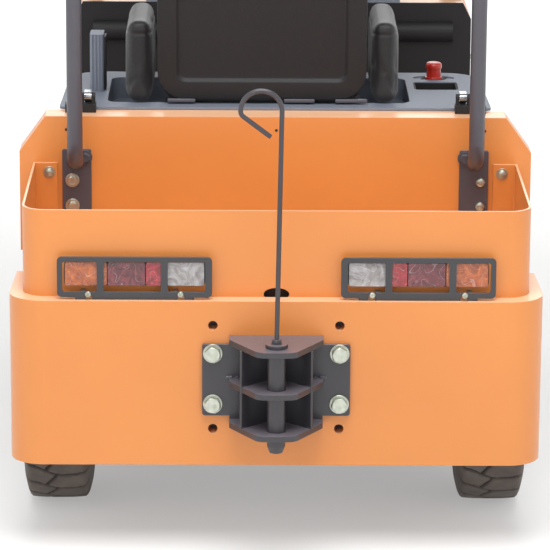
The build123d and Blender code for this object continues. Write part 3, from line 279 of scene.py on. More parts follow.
# %% Metals
def bare_metal(slot, name, bright, stain, roughness, grain, strength):
    """A metal surface: grain is the size of its tool marks or blotches in mm."""
    finish, node, shader, place = new_finish(name, Metallic=1.0, Roughness=roughness)
    blotch = node("TexNoise", {"Scale": repeats(grain * 6), "Detail": 6.0},
                  {"Vector": place}).outputs["Fac"]
    mask = node("MapRange", {"From Min": 0.4, "From Max": 0.72}, {"Value": blotch}).outputs[0]
    colour = node("Mix", {"data_type": "RGBA", 6: linear(bright), 7: linear(stain)},
                  {0: mask}).outputs[2]
    marks = node("TexNoise", {"Scale": repeats(grain), "Detail": 2.0},
                 {"Vector": place}).outputs["Fac"]
    soft = node("Bevel", {"samples": 4, "Radius": mm(0.8)}).outputs[0]
    bump = node("Bump", {"Strength": strength, "Distance": mm(0.2)},
                {"Height": marks, "Normal": soft}).outputs[0]
    gloss = node("MapRange", {"To Min": roughness * 0.8, "To Max": roughness * 1.5},
                 {"Value": blotch}).outputs[0]
    plug(shader, {"Base Color": colour, "Normal": bump, "Roughness": gloss})
    finishes[slot] = finish
    return finish


# Chrome plate on the hinge leaves and lamp rims.
bare_metal("bright_metal", "chrome_plate", "B4B6B9", "9C9FA2", 0.18, 6, 0.1)
# Zinc plate on bolts, screws and washers: pale, faintly green.
bare_metal("zinc_plate", "pale_zinc_plate", "C3C7BB", "A9AD9F", 0.34, 2, 0.3)
print("metals ready")

# %% [markdown]
# The tail lamps are clear moulded plastic over coloured plastic, still under the thin
# film they are delivered in. The film wrinkles: along its folds the body colour is painted
# lighter and darker as painted shading, its creases are bump with thin painted white
# highlights, and a clear coat gives the gloss.


# %% Lamp lenses
def lens(slot, name, bright, deep, creases, dimples, crease_highlight_white=0.22):
    """A moulded lens: creases and dimples are the widths in mm of its two patterns.
    bright and deep are painted along the film's folds as light and shade, and the last
    argument is how white the painted highlights on its creases are.
    """
    finish, node, shader, place = new_finish(name, Roughness=0.16, IOR=1.49)
    fold = node("TexNoise", {"Scale": repeats(creases * 2), "Detail": 3.0, "Distortion": 1.6},
                {"Vector": place}).outputs["Fac"]
    prism = node("TexVoronoi", {"Scale": repeats(dimples), "Randomness": 0.15},
                 {"Vector": place}).outputs["Distance"]
    crease = node("TexVoronoi", {"feature": "DISTANCE_TO_EDGE", "Scale": repeats(creases)},
                  {"Vector": place}).outputs[0]
    ridge = node("MapRange", {"From Max": 0.12, "To Min": 1.0, "To Max": 0.0},
                 {"Value": crease}).outputs[0]
    # Painted shading: the body colour is lighter and darker along the film's folds.
    painted_fold_shading = node("MapRange", {"From Min": 0.35, "From Max": 0.7}, {"Value": fold}).outputs[0]
    body = node("Mix", {"data_type": "RGBA", 6: linear(deep), 7: linear(bright)},
                {0: painted_fold_shading}).outputs[2]
    # Painted highlight: thin near-white lines along the film's creases, mixed into the colour.
    wave = node("TexNoise", {"Scale": repeats(creases * 4), "Detail": 1.0, "Distortion": 0.5},
                {"Vector": place}).outputs["Fac"]
    level = node("Math", {"operation": "MULTIPLY", 1: 9.0}, {0: wave}).outputs[0]
    near = node("Math", {"operation": "PINGPONG", 1: 0.5}, {0: level}).outputs[0]
    crease_highlight_mask = node("MapRange", {"From Max": 0.04, "To Min": crease_highlight_white, "To Max": 0.0},
                  {"Value": near}).outputs[0]
    colour = node("Mix", {"data_type": "RGBA", 7: linear("F2EFEF")},
                  {0: crease_highlight_mask, 6: body}).outputs[2]
    cups = node("Bump", {"Strength": 0.55, "Distance": mm(1.5)}, {"Height": prism}).outputs[0]
    film = node("Bump", {"Strength": 0.5, "Distance": mm(1.2)},
                {"Height": fold, "Normal": cups}).outputs[0]
    bump = node("Bump", {"Strength": 0.35, "Distance": mm(0.8)},
                {"Height": ridge, "Normal": film}).outputs[0]
    shader.inputs["Coat Weight"].default_value = 0.8
    shader.inputs["Coat Roughness"].default_value = 0.08
    plug(shader, {"Base Color": colour, "Normal": bump})
    finishes[slot] = finish
    return finish


lens("amber_lens", "amber_lens_under_film", "B9622A", "8A3E16", 13, 6)
lens("red_lens", "dark_red_lens_under_film", "7A3038", "45131C", 12, 6)
lens("stop_lens", "red_lens_under_film", "A92A33", "6E1019", 12, 6)
lens("clear_lens", "clear_lens_under_film", "A8A5A6", "736C6A", 14, 8)
# Glossy moulded plastics: the stop button, and the gel coat of the roof.
enamel("red_plastic", "red_button_plastic", "B3220F", "A31E0D", "C8523F", 0.3, 8, 0.05, 0.3, 0.2)
enamel("roof_moulding", "pale_gel_coat", "B9B8B1", "ABAAA2", "CFCEC8", 0.34, 9, 0.06, 0.3)
print("all finishes:", len(finishes))

# %% [markdown]
# Each CAD solid names the material slot it belongs to. Its mesh is never touched: only
# the material in that slot is changed for the finish of the same name.

# %% Dress the CAD solids
for solid in tractor.values():
    for place_in_list, old in enumerate(solid.data.materials):
        solid.data.materials[place_in_list] = finishes[old.name.split(".")[0]]
print("dressed", len(tractor), "solids")

# %% [markdown]
# From here on new pieces are modelled. The same moves come back each time: open a piece
# for editing, pick faces by where they are, apply a modifier, and settle the piece, which
# puts its place into its mesh, gives it a finish and makes it ride on a moving body.


# %% Modelling helpers
def alone(piece):
    """Makes piece the only selected object, and the active one."""
    bpy.ops.object.select_all(action="DESELECT")
    piece.select_set(True)
    bpy.context.view_layer.objects.active = piece


def opened(piece=None):
    """Opens a piece, or the newest one, for editing."""
    if piece:
        alone(piece)
    bpy.ops.object.mode_set(mode="EDIT")


def closed():
    """Ends editing."""
    bpy.ops.object.mode_set(mode="OBJECT")


def pick(piece, kind, test):
    """In edit mode, selects the faces, edges or points for which test is true."""
    bpy.ops.mesh.select_mode(type=kind)
    bpy.ops.mesh.select_all(action="DESELECT")
    shape = bmesh.from_edit_mesh(piece.data)
    for part in {"FACE": shape.faces, "EDGE": shape.edges, "VERT": shape.verts}[kind]:
        if test(part):
            part.select_set(True)
    bmesh.update_edit_mesh(piece.data)


def modified(piece, kind, **settings):
    """Adds one modifier, sets it and applies it."""
    alone(piece)
    change = piece.modifiers.new(kind.title(), kind)
    for key, value in settings.items():
        setattr(change, key, value)
    bpy.ops.object.modifier_apply(modifier=change.name)
    return piece


def settle(piece, name, slot, body="chassis", smooth=35):
    """Puts a piece's place in its mesh, and gives it its name, finish and body."""
    alone(piece)
    piece.name = name
    bpy.ops.object.transform_apply(location=True, rotation=True, scale=True)
    bpy.ops.object.shade_smooth_by_angle(angle=math.radians(smooth))
    piece.data.materials.clear()
    piece.data.materials.append(finishes[slot])
    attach(piece, body)
    return piece


def box(middle, sides):
    """A plain box about its middle, with its place and size in its mesh."""
    bpy.ops.object.select_all(action="DESELECT")
    bpy.ops.mesh.primitive_cube_add(size=1.0, location=middle)
    piece = bpy.context.object
    piece.scale = sides
    bpy.ops.object.transform_apply(location=True, rotation=True, scale=True)
    return piece


def block(low, high, round_mm=1.0, segments=2):
    """A block between two corners with its edges rounded, as a cut or moulded piece has."""
    piece = box([(a + b) / 2 for a, b in zip(low, high)], [b - a for a, b in zip(low, high)])
    opened()
    bpy.ops.mesh.select_all(action="SELECT")
    bpy.ops.mesh.bevel(offset=mm(round_mm), segments=segments, affect="EDGES")
    closed()
    return piece


def seamless(gap):
    """Closes seams and poles narrower than gap mm, turns faces outward, ends editing."""
    bpy.ops.mesh.select_all(action="SELECT")
    bpy.ops.mesh.remove_doubles(threshold=mm(gap))
    bpy.ops.mesh.normals_make_consistent(inside=False)
    closed()


def turned(profile, steps=40):
    """A lathe: profile lists (radius, height) in mm, drawn point by point, then spun."""
    bpy.ops.object.select_all(action="DESELECT")
    bpy.ops.mesh.primitive_plane_add(size=mm(1), location=(0, 0, 0))
    piece = bpy.context.object
    opened()
    bpy.ops.mesh.select_mode(type="VERT")
    bpy.ops.mesh.select_all(action="SELECT")
    bpy.ops.mesh.merge(type="CENTER")
    bpy.ops.mesh.select_all(action="SELECT")
    bpy.ops.transform.translate(value=(mm(profile[0][0]), 0, mm(profile[0][1])))
    for (near, low), (far, high) in zip(profile, profile[1:]):
        bpy.ops.mesh.extrude_region_move(
            TRANSFORM_OT_translate={"value": (mm(far - near), 0, mm(high - low))})
    bpy.ops.mesh.select_all(action="SELECT")
    bpy.ops.mesh.spin(steps=steps, angle=2 * math.pi, center=(0, 0, 0), axis=(0, 0, 1))
    seamless(0.01)
    return piece


def joined(pieces):
    """Several meshes made one."""
    alone(pieces[0])
    for piece in pieces:
        piece.select_set(True)
    bpy.ops.object.join()
    return bpy.context.object


def spread(master, name, spots, facing=(0, -1, 0), slot="zinc_plate", body="chassis"):
    """Copies of one master, each with its own mesh, set on spots and facing one way."""
    tilt = Vector((0, 0, 1)).rotation_difference(Vector(facing)).to_matrix().to_4x4()
    copies = []
    for spot in spots:
        copy = master.copy()
        copy.data = master.data.copy()
        bpy.context.collection.objects.link(copy)
        spin = Matrix.Rotation(random.uniform(0.0, 1.0), 4, "Z")
        copy.data.transform(Matrix.Translation(spot) @ tilt @ spin)
        copies.append(copy)
    return settle(joined(copies), name, slot, body)


def put_away(*masters):
    """Removes masters once they have been copied."""
    for master in masters:
        bpy.data.objects.remove(master)


print("modelling helpers ready")

# %% [markdown]
# Bolts come first, because everything visible at the back is bolted. A forged hexagon
# head has a flat washer face and a 30 degree chamfer round its top. The chamfer is the
# overlap of a hexagonal bar and a turned cone, so one Boolean gives it exactly.


# %% Hexagon bolt
def hex_bolt(flats, height, washer_radius, washer_thick):
    """A bolt head on its washer, standing on Z = 0. Sizes are in mm."""
    corner = flats / math.sqrt(3)
    bpy.ops.object.select_all(action="DESELECT")
    bpy.ops.mesh.primitive_cylinder_add(vertices=6, radius=mm(corner), depth=mm(height),
                                        location=(0, 0, mm(washer_thick + height / 2)))
    head = bpy.context.object
    bpy.ops.object.transform_apply(location=True, rotation=True, scale=True)
    crown = flats / 2 * 0.93
    drop = (corner - crown) * 0.58
    top = washer_thick + height
    cone = turned([(0, washer_thick - 1), (corner + 1, washer_thick - 1),
                   (corner, top - drop), (crown, top), (0, top)])
    modified(head, "BOOLEAN", operation="INTERSECT", object=cone)
    put_away(cone)
    opened(head)
    pick(head, "FACE", lambda f: f.normal.z > 0.99)
    bpy.ops.mesh.inset(thickness=mm(flats * 0.1))
    bpy.ops.transform.translate(value=(0, 0, -mm(0.4)))
    closed()
    ring = turned([(0, 0), (washer_radius - 0.5, 0), (washer_radius, 0.5),
                   (washer_radius, washer_thick - 0.6), (washer_radius - 0.6, washer_thick),
                   (0, washer_thick)])
    return joined([head, ring])


post_face = ahead(464.7)
big_bolt = hex_bolt(31, 13.5, 20.5, 3)
coupling_spots = [(mm(x), ahead(-10), mm(388 + z)) for x in (-132.5, 132.5) for z in (-55, 55)]
spread(big_bolt, "coupling_bolts", coupling_spots)
post_bolt = hex_bolt(18, 9, 15.5, 2.5)
spread(post_bolt, "post_foot_bolts_left", [(mm(-447), post_face, mm(z)) for z in (700.7, 643.5)])
hidden_spots = [(mm(x), post_face, mm(753)) for x in (-418, 416)]
spread(post_bolt, "post_inner_bolts", hidden_spots, (0, -1, 0), "post_paint")
print("bolts on the coupling:", len(coupling_spots))

# %% [markdown]
# The tray's flanges and the lamp guards are held by round-headed screws. A round head
# is turned, and its slot or cross is cut with a thin bar.


# %% Round-headed screws
def round_screw(radius, height, washer_radius, cross):
    """A domed head with a slot or a cross, on a thin washer if it has one."""
    low = 1.2 if washer_radius else 0.0
    head = turned([(0, low), (radius, low), (radius, low + height * 0.35),
                   (radius * 0.85, low + height * 0.75), (radius * 0.5, low + height * 0.96),
                   (0, low + height)], 28)
    for quarter in range(2 if cross else 1):
        bar = box((0, 0, mm(low + height)),
                  mm(radius * (1.3 if cross else 2.4), radius * 0.2, height * 1.1))
        bar.rotation_euler.z = quarter * math.pi / 2
        modified(head, "BOOLEAN", operation="DIFFERENCE", object=bar)
        put_away(bar)
    if not washer_radius:
        return head
    ring = turned([(0, 0), (washer_radius, 0), (washer_radius, 0.8), (washer_radius - 0.5, 1.2),
                   (0, 1.2)], 28)
    return joined([head, ring])


flange_screw = round_screw(9.5, 6, 13.5, False)
spread(flange_screw, "tray_flange_screws",
       [(mm(-498), ahead(466), mm(718)), (mm(499.5), ahead(466), mm(717.5))])
foot_screw = round_screw(10.5, 7, 0, False)
spread(foot_screw, "post_foot_screws_right", [(mm(452), post_face, mm(z)) for z in (699, 644.5)])
guard_screw = round_screw(6.6, 4.5, 0, True)
guard_spots = [(mm(x), ahead(9.8), mm(565)) for x in (-393, -200, 200, 393)]
spread(guard_screw, "lamp_guard_screws", guard_spots)
rivet = turned([(0, 0), (3.2, 0), (2.8, 0.7), (1.4, 1.2), (0, 1.3)], 16)
rivet_spots = [(mm(x), ahead(470.8), mm(813)) for x in (-460, 1.5, 460)]
spread(rivet, "bulkhead_plugs", rivet_spots, (0, -1, 0), "black_plastic")
for side, name in ((-1, "left"), (1, "right")):
    spots = [(mm(side * 484.8), ahead(y), mm(z)) for y, z in ((1420, 640), (1420, 790))]
    spread(guard_screw, f"cowl_screws_{name}", spots, (side, 0, 0))
    spots = [(mm(side * 560.2), ahead(y), mm(z)) for y, z in ((700, 600), (860, 600), (860, 300))]
    spread(guard_screw, f"side_panel_screws_{name}", spots, (side, 0, 0))
put_away(big_bolt, post_bolt, flange_screw, foot_screw, guard_screw, rivet)
print("screws on the lamp guards:", len(guard_spots))

# %% [markdown]
# The coupling is welded from thick plate. A weld is a chain of overlapping ripples, so
# a bead is turned from a wavy profile and laid along the joint it closes.


# %% Weld beads
def weld(start, end, radius):
    """A rippled bead from start to end."""
    run = Vector(end) - Vector(start)
    count = max(3, int(run.length * 1000 / (radius * 0.8)))
    step = run.length * 1000 / count
    wave = [(0, 0)]
    for ripple in range(count):
        wave.append((radius * random.uniform(0.92, 1.08), (ripple + 0.35) * step))
        wave.append((radius * 0.8, (ripple + 0.95) * step))
    wave.append((0, count * step))
    bead = turned(wave, 10)
    tilt = Vector((0, 0, 1)).rotation_difference(run.normalized()).to_matrix().to_4x4()
    bead.data.transform(Matrix.Translation(start) @ tilt)
    return bead


beads = []
low = ahead(-11)
for side in (-1, 1):
    for a, b in ((78, 85), (91, 105)):
        beads.append(weld((mm(side * a), low, mm(391)), (mm(side * b), low, mm(391)), 4.6))
for base in (300, 390):
    for side in (-1, 1):
        foot = Vector((mm(side * 73), ahead(-76), mm(base + 1)))
        beads.append(weld(foot, foot + Vector((mm(-side * 9), mm(8), 0)), 3.6))
        beads.append(weld((mm(side * 12), ahead(-12), mm(base)),
                          (mm(side * 70), ahead(-71), mm(base)), 2.6))
settle(joined(beads), "coupling_welds", "post_paint")
print("weld beads:", len(beads))

# %% [markdown]
# The pull rod is held to the pin by a nut on a washer. The CAD collar is the washer, so
# only the nut is added: a hexagon with a chamfer at both ends, round the thin rod.

# %% Nut on the pin
rod_nut = hex_bolt(19, 9, 12, 0.8)
collar_top = (0.0, ahead(-92), mm(488.3))
spread(rod_nut, "pin_nut", [collar_top], (0, 0, 1), "coupling_paint", "tow_pin")
put_away(rod_nut)
print("nut at", [round(v, 3) for v in collar_top])

# %% [markdown]
# This tyre has broad blocks with narrow grooves: a wavy groove runs across the tread
# every few centimetres, and a short slanting one joins each wave to the next. A flat grid
# is wrapped into a ring, and its points are pushed in near a groove. The depth is kept
# as an attribute, so the rubber can be darker down there.

# %% One treaded tyre
tyre_out, pitch, groove_deep, groove_half = 230.0, 55.6, 6.5, 2.3
section = [(-64, 123), (-66, 131), (-71, 145), (-74, 160), (-74.0, 176), (-72, 192),
           (-69, 205), (-66, 216), (-62, 224)]
tread = [(-58 + 4.0 * step, 229.9 - 2.6 * (abs(-58 + 4.0 * step) / 58) ** 3) for step in range(30)]
section = section + tread + [(-x, r) for x, r in reversed(section)]
section = section + [(40, 122.2), (0, 122.2), (-40, 122.2), (-64, 123)]


def wave(x):
    """How far along the tread the wavy groove lies at a distance x from its middle."""
    ease = min(1.0, max(0.0, (x + 60) / 72))
    return 30 * ease * ease * (3 - 2 * ease) - 5 * max(0.0, (x - 12) / 46) ** 1.4


def groove_depth(x, along):
    """The groove's depth at a place on the unrolled tread, in mm."""
    near = 99.0
    for turn in (-1, 0, 1):
        offset = (along % pitch) + turn * pitch
        near = min(near, abs(offset - wave(x)) * 0.9)
        start, end = Vector((3, wave(3))), Vector((-24, wave(-24) + pitch))
        line = end - start
        share = min(1, max(0, (Vector((x, offset)) - start).dot(line) / line.length_squared))
        near = min(near, (Vector((x, offset)) - start - line * share).length)
    fade = min(1.0, max(0.0, (70 - abs(x)) / 6))
    return groove_deep * fade * min(1.0, max(0.0, (groove_half + 1.6 - near) / 1.8))


around = 26 * 17
bpy.ops.object.select_all(action="DESELECT")
bpy.ops.mesh.primitive_grid_add(x_subdivisions=around, y_subdivisions=len(section) - 1, size=2)
tyre = bpy.context.object
depths = []
for point in tyre.data.vertices:
    row = round((point.co.y + 1) / 2 * (len(section) - 1))
    x, radius = section[row]
    angle = (point.co.x + 1) * math.pi
    cut = groove_depth(x, angle * tyre_out) if radius > 200 else 0.0
    depths.append(cut / groove_deep)
    flank = min(1.0, max(0.0, (abs(x) - 56) / 12))
    radius -= cut * (1 - 0.6 * flank)
    x -= math.copysign(cut * 0.6 * flank, x)
    point.co = mm(x, radius * math.sin(angle), -radius * math.cos(angle))
tyre.data.attributes.new("groove", "FLOAT", "POINT").data.foreach_set("value", depths)
opened(tyre)
seamless(0.02)
print("tyre faces:", len(tyre.data.polygons))

# %% [markdown]
# The four tyres are copies of that one, each with its own mesh, turned a little so the
# grooves do not line up. Each replaces the plain CAD tyre and rides on its wheel.

# %% Four tyres, nuts and hub caps
stud_circle = mm(57)
wheel_nut = hex_bolt(17, 9, 11, 1.5)
hub_cap = turned([(0, 4), (21, 4), (21.5, 0), (34, 0), (34, 5), (31, 11), (22, 15), (8, 16.5),
                  (0, 16.5)], 36)
for end in ("rear", "front"):
    for side, hand in ((-1, "left"), (1, "right")):
        low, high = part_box(f"tyre_{end}_{hand}")
        centre = (low + high) / 2
        wheel = f"wheel_{end}_{hand}"
        copy = tyre.copy()
        copy.data = tyre.data.copy()
        bpy.context.collection.objects.link(copy)
        turn = Matrix.Rotation(0.35 + random.uniform(0, 2), 4, "X")
        copy.data.transform(Matrix.Translation(centre) @ turn)
        settle(copy, f"treaded_tyre_{end}_{hand}", "tyre_rubber", wheel, 50)
        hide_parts(f"tyre_{end}_{hand}")
        face = centre.x + side * mm(27)
        nuts = [(face, centre.y + stud_circle * math.cos(a), centre.z + stud_circle * math.sin(a))
                for a in (math.pi / 3 * k + math.pi / 6 for k in range(6))]
        spread(wheel_nut, f"wheel_nuts_{end}_{hand}", nuts, (side, 0, 0), "zinc_plate", wheel)
        spread(hub_cap, f"hub_cap_{end}_{hand}", [(centre.x + side * mm(32), centre.y, centre.z)],
               (side, 0, 0), "black_plastic", wheel)
put_away(tyre, wheel_nut, hub_cap)
print("wheels dressed")

# %% [markdown]
# The seat is vinyl over foam. Foam pushes the cover out between its seams, so a pad is
# crowned, its sides pull in at the corners, and sewn channels sink into it. A rounded
# block is remeshed, blown up a little as cloth with air pressure inside, kept flat where
# it is held, and made finer. The channels are pressed in last, as the remesh loses them.

# %% Blow up a pad
cloth_frames = 20


def puffed(pad, voxel, limit, held):
    """Remeshes a pad and lets pressure crown it: no point moves further than limit mm."""
    modified(pad, "REMESH", mode="VOXEL", voxel_size=mm(voxel))
    before = [point.co.copy() for point in pad.data.vertices]
    group = pad.vertex_groups.new(name="held")
    group.add([i for i, spot in enumerate(before) if held(spot)], 1.0, "REPLACE")
    cover = pad.modifiers.new("Cloth", "CLOTH")
    cover.settings.use_pressure = True
    cover.settings.uniform_pressure_force = 4.0
    cover.settings.vertex_group_mass = "held"
    cover.settings.effector_weights.gravity = 0.0
    cover.point_cache.frame_start, cover.point_cache.frame_end = 1, cloth_frames
    for step in range(1, cloth_frames + 1):
        bpy.context.scene.frame_set(step)
    alone(pad)
    bpy.ops.object.modifier_apply(modifier="Cloth")
    bpy.context.scene.frame_set(1)
    for point, start in zip(pad.data.vertices, before):
        move = point.co - start
        if move.length > mm(limit):
            point.co = start + move * (mm(limit) / move.length)
    pad.vertex_groups.clear()
    return modified(pad, "SUBSURF", levels=1, render_levels=1)


def pressed(pad, depth, width, gap):
    """Sinks sewn channels: gap(point) is the distance in mm to the nearest seam."""
    for point in pad.data.vertices:
        away = gap(point.co, point.normal)
        if away < width * 3:
            point.co -= point.normal * mm(depth * math.exp(-(away / width) ** 2))
    return pad


print("cloth runs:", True)

# %% Seat cushion
low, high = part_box("seat_cushion")
seat_middle, bolster = (low.x + high.x) / 2, mm(138)
cushion = puffed(block((low.x + mm(7), low.y + mm(7), low.z),
                       (high.x - mm(7), high.y - mm(7), high.z - mm(8)), 26, 4),
                 7, 12, lambda spot: spot.z < low.z + mm(6))


def cushion_seam(spot, normal):
    """Two long seams beside the bolsters, and four across between them."""
    if normal.z < 0.3:
        return 99.0
    beside = abs(abs(spot.x - seat_middle) - bolster) * 1000
    across = min(abs(spot.y - (low.y + mm(60 + 78 * k))) for k in range(5)) * 1000
    return min(beside, across if abs(spot.x - seat_middle) < bolster else 99.0)


pressed(cushion, 5.5, 5.0, cushion_seam)
settle(cushion, "seat_cushion_cover", "seat_vinyl", "deck", 60)
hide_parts("seat_cushion")
print("cushion faces:", len(cushion.data.polygons))

# %% [markdown]
# The backrest is made upright and then leaned back by eight degrees, with a moulded
# shell behind it: the dark panel with round lower corners that the picture shows.

# %% Backrest and its shell
low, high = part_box("seat_back")
foot = Vector((seat_middle, high.y, low.z))
lean = (Matrix.Translation(foot) @ Matrix.Rotation(math.radians(8), 4, "X")
        @ Matrix.Translation(-foot))
rest = puffed(block((low.x + mm(8), foot.y - mm(66), foot.z + mm(10)),
                    (high.x - mm(8), foot.y - mm(8), foot.z + mm(486)), 24, 4),
              7, 10, lambda spot: spot.y < foot.y - mm(60))


def backrest_seam(spot, normal):
    """A panel seam round the front, and channels across it."""
    if normal.y < 0.3:
        return 99.0
    beside = abs(abs(spot.x - seat_middle) - bolster) * 1000
    across = min(abs(spot.z - (foot.z + mm(110 + 80 * k))) for k in range(5)) * 1000
    return min(beside, across if abs(spot.x - seat_middle) < bolster else 99.0)


pressed(rest, 5.5, 5.0, backrest_seam)
rest.data.transform(lean)
settle(rest, "backrest_cover", "seat_vinyl", "deck", 60)
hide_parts("seat_back")
shell = box((seat_middle, foot.y - mm(69), foot.z + mm(226)),
            (high.x - low.x - mm(8), mm(18), mm(416)))
opened()
pick(shell, "EDGE", lambda e: abs((e.verts[0].co - e.verts[1].co).normalized().y) > 0.99)
bpy.ops.mesh.bevel(offset=mm(62), segments=8, affect="EDGES")
pick(shell, "FACE", lambda f: f.normal.y < -0.99 and f.calc_area() > 0.05)
bpy.ops.mesh.inset(thickness=mm(42))
bpy.ops.mesh.inset(thickness=mm(5))
bpy.ops.transform.translate(value=(0, mm(8), 0))
closed()
modified(shell, "BEVEL", width=mm(2.5), segments=3, limit_method="ANGLE")
shell.data.transform(lean)
settle(shell, "backrest_shell", "black_plastic", "deck")
rails = [block((seat_middle + mm(a), foot.y - mm(84), foot.z + mm(1)),
               (seat_middle + mm(b), foot.y - mm(72), foot.z + mm(9)), 1.5, 2)
         for a, b in ((-210, -148), (49, 117), (163, 234))]
settle(joined(rails), "seat_rail_ends", "post_paint", "deck")
print("shell faces:", len(shell.data.polygons))

# %% Hip pads
pads = []
low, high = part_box("hip_pads")
for side in (-1, 1):
    near = seat_middle + side * mm(245.5)
    far = seat_middle + side * mm(301)
    pads.append(puffed(block((min(near, far) + mm(3), low.y + mm(5), low.z + mm(1)),
                             (max(near, far) - mm(3), high.y - mm(8), high.z - mm(5)), 18, 4),
                       6, 6, lambda spot: spot.z < low.z + mm(8)))
hip_covers = joined(pads)
pressed(hip_covers, 2.5, 3.0, lambda spot, normal: abs(spot.z - (high.z - mm(34))) * 1000)
settle(hip_covers, "hip_pad_covers", "seat_vinyl", "deck", 60)
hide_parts("hip_pads")
print("hip pads reach", round(max(v.co.z for v in hip_covers.data.vertices), 3))

# %% [markdown]
# The covers are closed with piping, a thin round cord sewn into the seam. Its line is
# laid on the pad's own surface, so it follows the crown.


# %% Piping
def piping(pad, name, loop, thick):
    """A closed round bead along loop, laid on the nearest surface of pad."""
    line = bpy.data.curves.new(name, "CURVE")
    line.dimensions = "3D"
    line.bevel_depth = mm(thick)
    line.bevel_resolution = 2
    run = line.splines.new("POLY")
    run.points.add(len(loop) - 1)
    run.use_cyclic_u = True
    for point, place in zip(run.points, loop):
        spot, normal = pad.closest_point_on_mesh(place)[1:3]
        point.co = list(spot + normal * mm(thick * 0.2)) + [1.0]
    bead = bpy.data.objects.new(name, line)
    bpy.context.collection.objects.link(bead)
    alone(bead)
    bpy.ops.object.convert(target="MESH")
    return settle(bpy.context.object, name, "black_plastic", "deck", 60)


def round_loop(width, length, corner, count=96):
    """Points of a rounded rectangle about its middle, in mm."""
    points = []
    for k in range(count):
        angle = 2 * math.pi * k / count
        across, along = math.cos(angle), math.sin(angle)
        power = 2.0 / (2 + 1.6 * min(width, length) / (2 * corner))
        points.append((width / 2 * math.copysign(abs(across) ** power, across),
                       length / 2 * math.copysign(abs(along) ** power, along)))
    return points


low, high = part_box("seat_cushion")
middle_y = (low.y + high.y) / 2
piping(cushion, "cushion_piping",
       [Vector((seat_middle + mm(x), middle_y + mm(y), high.z - mm(22)))
        for x, y in round_loop(460, 400, 60)], 2.6)
low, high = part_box("seat_back")
piping(rest, "backrest_piping",
       [lean @ Vector((seat_middle + mm(x), foot.y - mm(16), foot.z + mm(248 + z)))
        for x, z in round_loop(450, 470, 60)], 2.6)
print("piping laid")

# %% [markdown]
# The driver's side is finished from what this kind of tractor has: a ribbed rubber mat,
# instruments on the sloping face of the dashboard, a horn button and round headlamps.


# %% Ribbed mat
low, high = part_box("floor_plate")
mat_half, mat_thick, rib, pitch = 540, 4, 7, 22
base = block((-mm(mat_half), low.y + mm(14), high.z),
             (mm(mat_half), high.y - mm(44), high.z + mm(mat_thick)), 0.8, 1)
start = (mm(pitch - mat_half), low.y + mm(26), high.z + mm(mat_thick / 2))
end = (mm(pitch + rib - mat_half), high.y - mm(56), high.z + mm(mat_thick + rib * 0.4))
bar = modified(block(start, end, rib * 0.3, 2), "ARRAY",
               count=int(2 * mat_half / pitch) - 1, use_relative_offset=False,
               use_constant_offset=True, constant_offset_displace=(mm(pitch), 0, 0))
settle(joined([base, bar]), "footwell_mat", "black_plastic")
print("footwell mat on z", round(high.z, 3))

# %% The dashboard's slope
dash_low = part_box("dashboard")[0]
face_lean = math.atan2(mm(34), mm(92))
face_turn = (0.0, -math.cos(face_lean), math.sin(face_lean))


def on_dash(x, share):
    """A place on the sloping face of the dashboard, share of the way up it."""
    return (mm(x), dash_low.y + mm(34) * share, dash_low.z + mm(92) * share)


# %% Instruments
gauge = turned([(0, 0), (32, 0), (32, 7), (29, 9), (27, 7.5), (26.5, 4), (0, 4)], 40)
gauge_spots = [on_dash(-190, 0.5), on_dash(-110, 0.5)]
spread(gauge, "gauge_rims", gauge_spots, face_turn, "bright_metal")
dial = turned([(0, 4.2), (26, 4.2), (26, 5.2), (0, 5.2)], 40)
spread(dial, "gauge_dials", gauge_spots, face_turn, "roof_moulding")
needle = block((-mm(1.2), -mm(3), mm(5)), (mm(1.2), mm(20), mm(6.6)), 0.4, 1)
hub = turned([(0, 5), (4, 5), (4, 8), (3, 8.6), (0, 8.6)], 16)
pointer = joined([needle, hub])
spread(pointer, "gauge_needles", gauge_spots, face_turn, "red_plastic")
lock = turned([(0, 0), (15, 0), (15, 3), (12, 5), (9, 5), (9, 8), (0, 8)], 28)
spread(lock, "key_switch", [on_dash(205, 0.5)], face_turn, "bright_metal")
knob = turned([(0, 0), (17, 0), (17, 2), (12, 4), (11, 15), (9, 17), (0, 17)], 28)
spread(knob, "lamp_knobs", [on_dash(110, 0.5), on_dash(155, 0.5)], face_turn,
       "black_plastic")
put_away(gauge, dial, pointer, lock, knob)
print("instruments on the dashboard")

# %% Horn button and steering wheel trim
axis = Vector((0.0, -math.sin(math.radians(36)), math.cos(math.radians(36))))
hub_top = Vector((0.0, ahead(1330), 1.15)) + axis * mm(24)
horn = turned([(0, -2), (38, -2), (38, 3), (35, 6), (30, 7), (28, 9.5), (14, 11), (0, 11.5)], 40)
spread(horn, "horn_button", [hub_top], axis, "black_plastic", "steering_wheel")
put_away(horn)
print("horn button at", [round(v, 3) for v in hub_top])

# %% [markdown]
# A headlamp is a clear glass with moulded flutes in a bright rim. The rim is turned. The
# glass is a shallow dome whose faces are pushed in and out in upright strips.

# %% Headlamps
low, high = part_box("headlamps")
lamp_spots = [(side * mm(299), high.y - mm(1), (low.z + high.z) / 2) for side in (-1, 1)]
rim = turned([(60, -10), (71, -10), (72.5, -2), (72, 5), (69, 8), (64, 8), (60.5, 4),
              (60, -10)], 48)
spread(rim, "headlamp_rims", lamp_spots, (0, 1, 0), "bright_metal")
glass = turned([(0, 8.5), (14, 8.2), (28, 7.3), (42, 5.6), (54, 3.2), (62, 0.5), (62, -1),
                (0, -1)], 64)
for point in glass.data.vertices:
    if point.co.z > 0:
        point.co.z += mm(0.8) * math.sin(point.co.x * 1000 / 9 * 2 * math.pi)
spread(glass, "headlamp_glasses", lamp_spots, (0, 1, 0), "clear_lens")
put_away(rim, glass)
print("headlamps face", [round(v, 3) for v in lamp_spots[1]])

# %% [markdown]
# Small fixings again: hinge bolts and caps at the deck, and bolts through the front
# bumper.

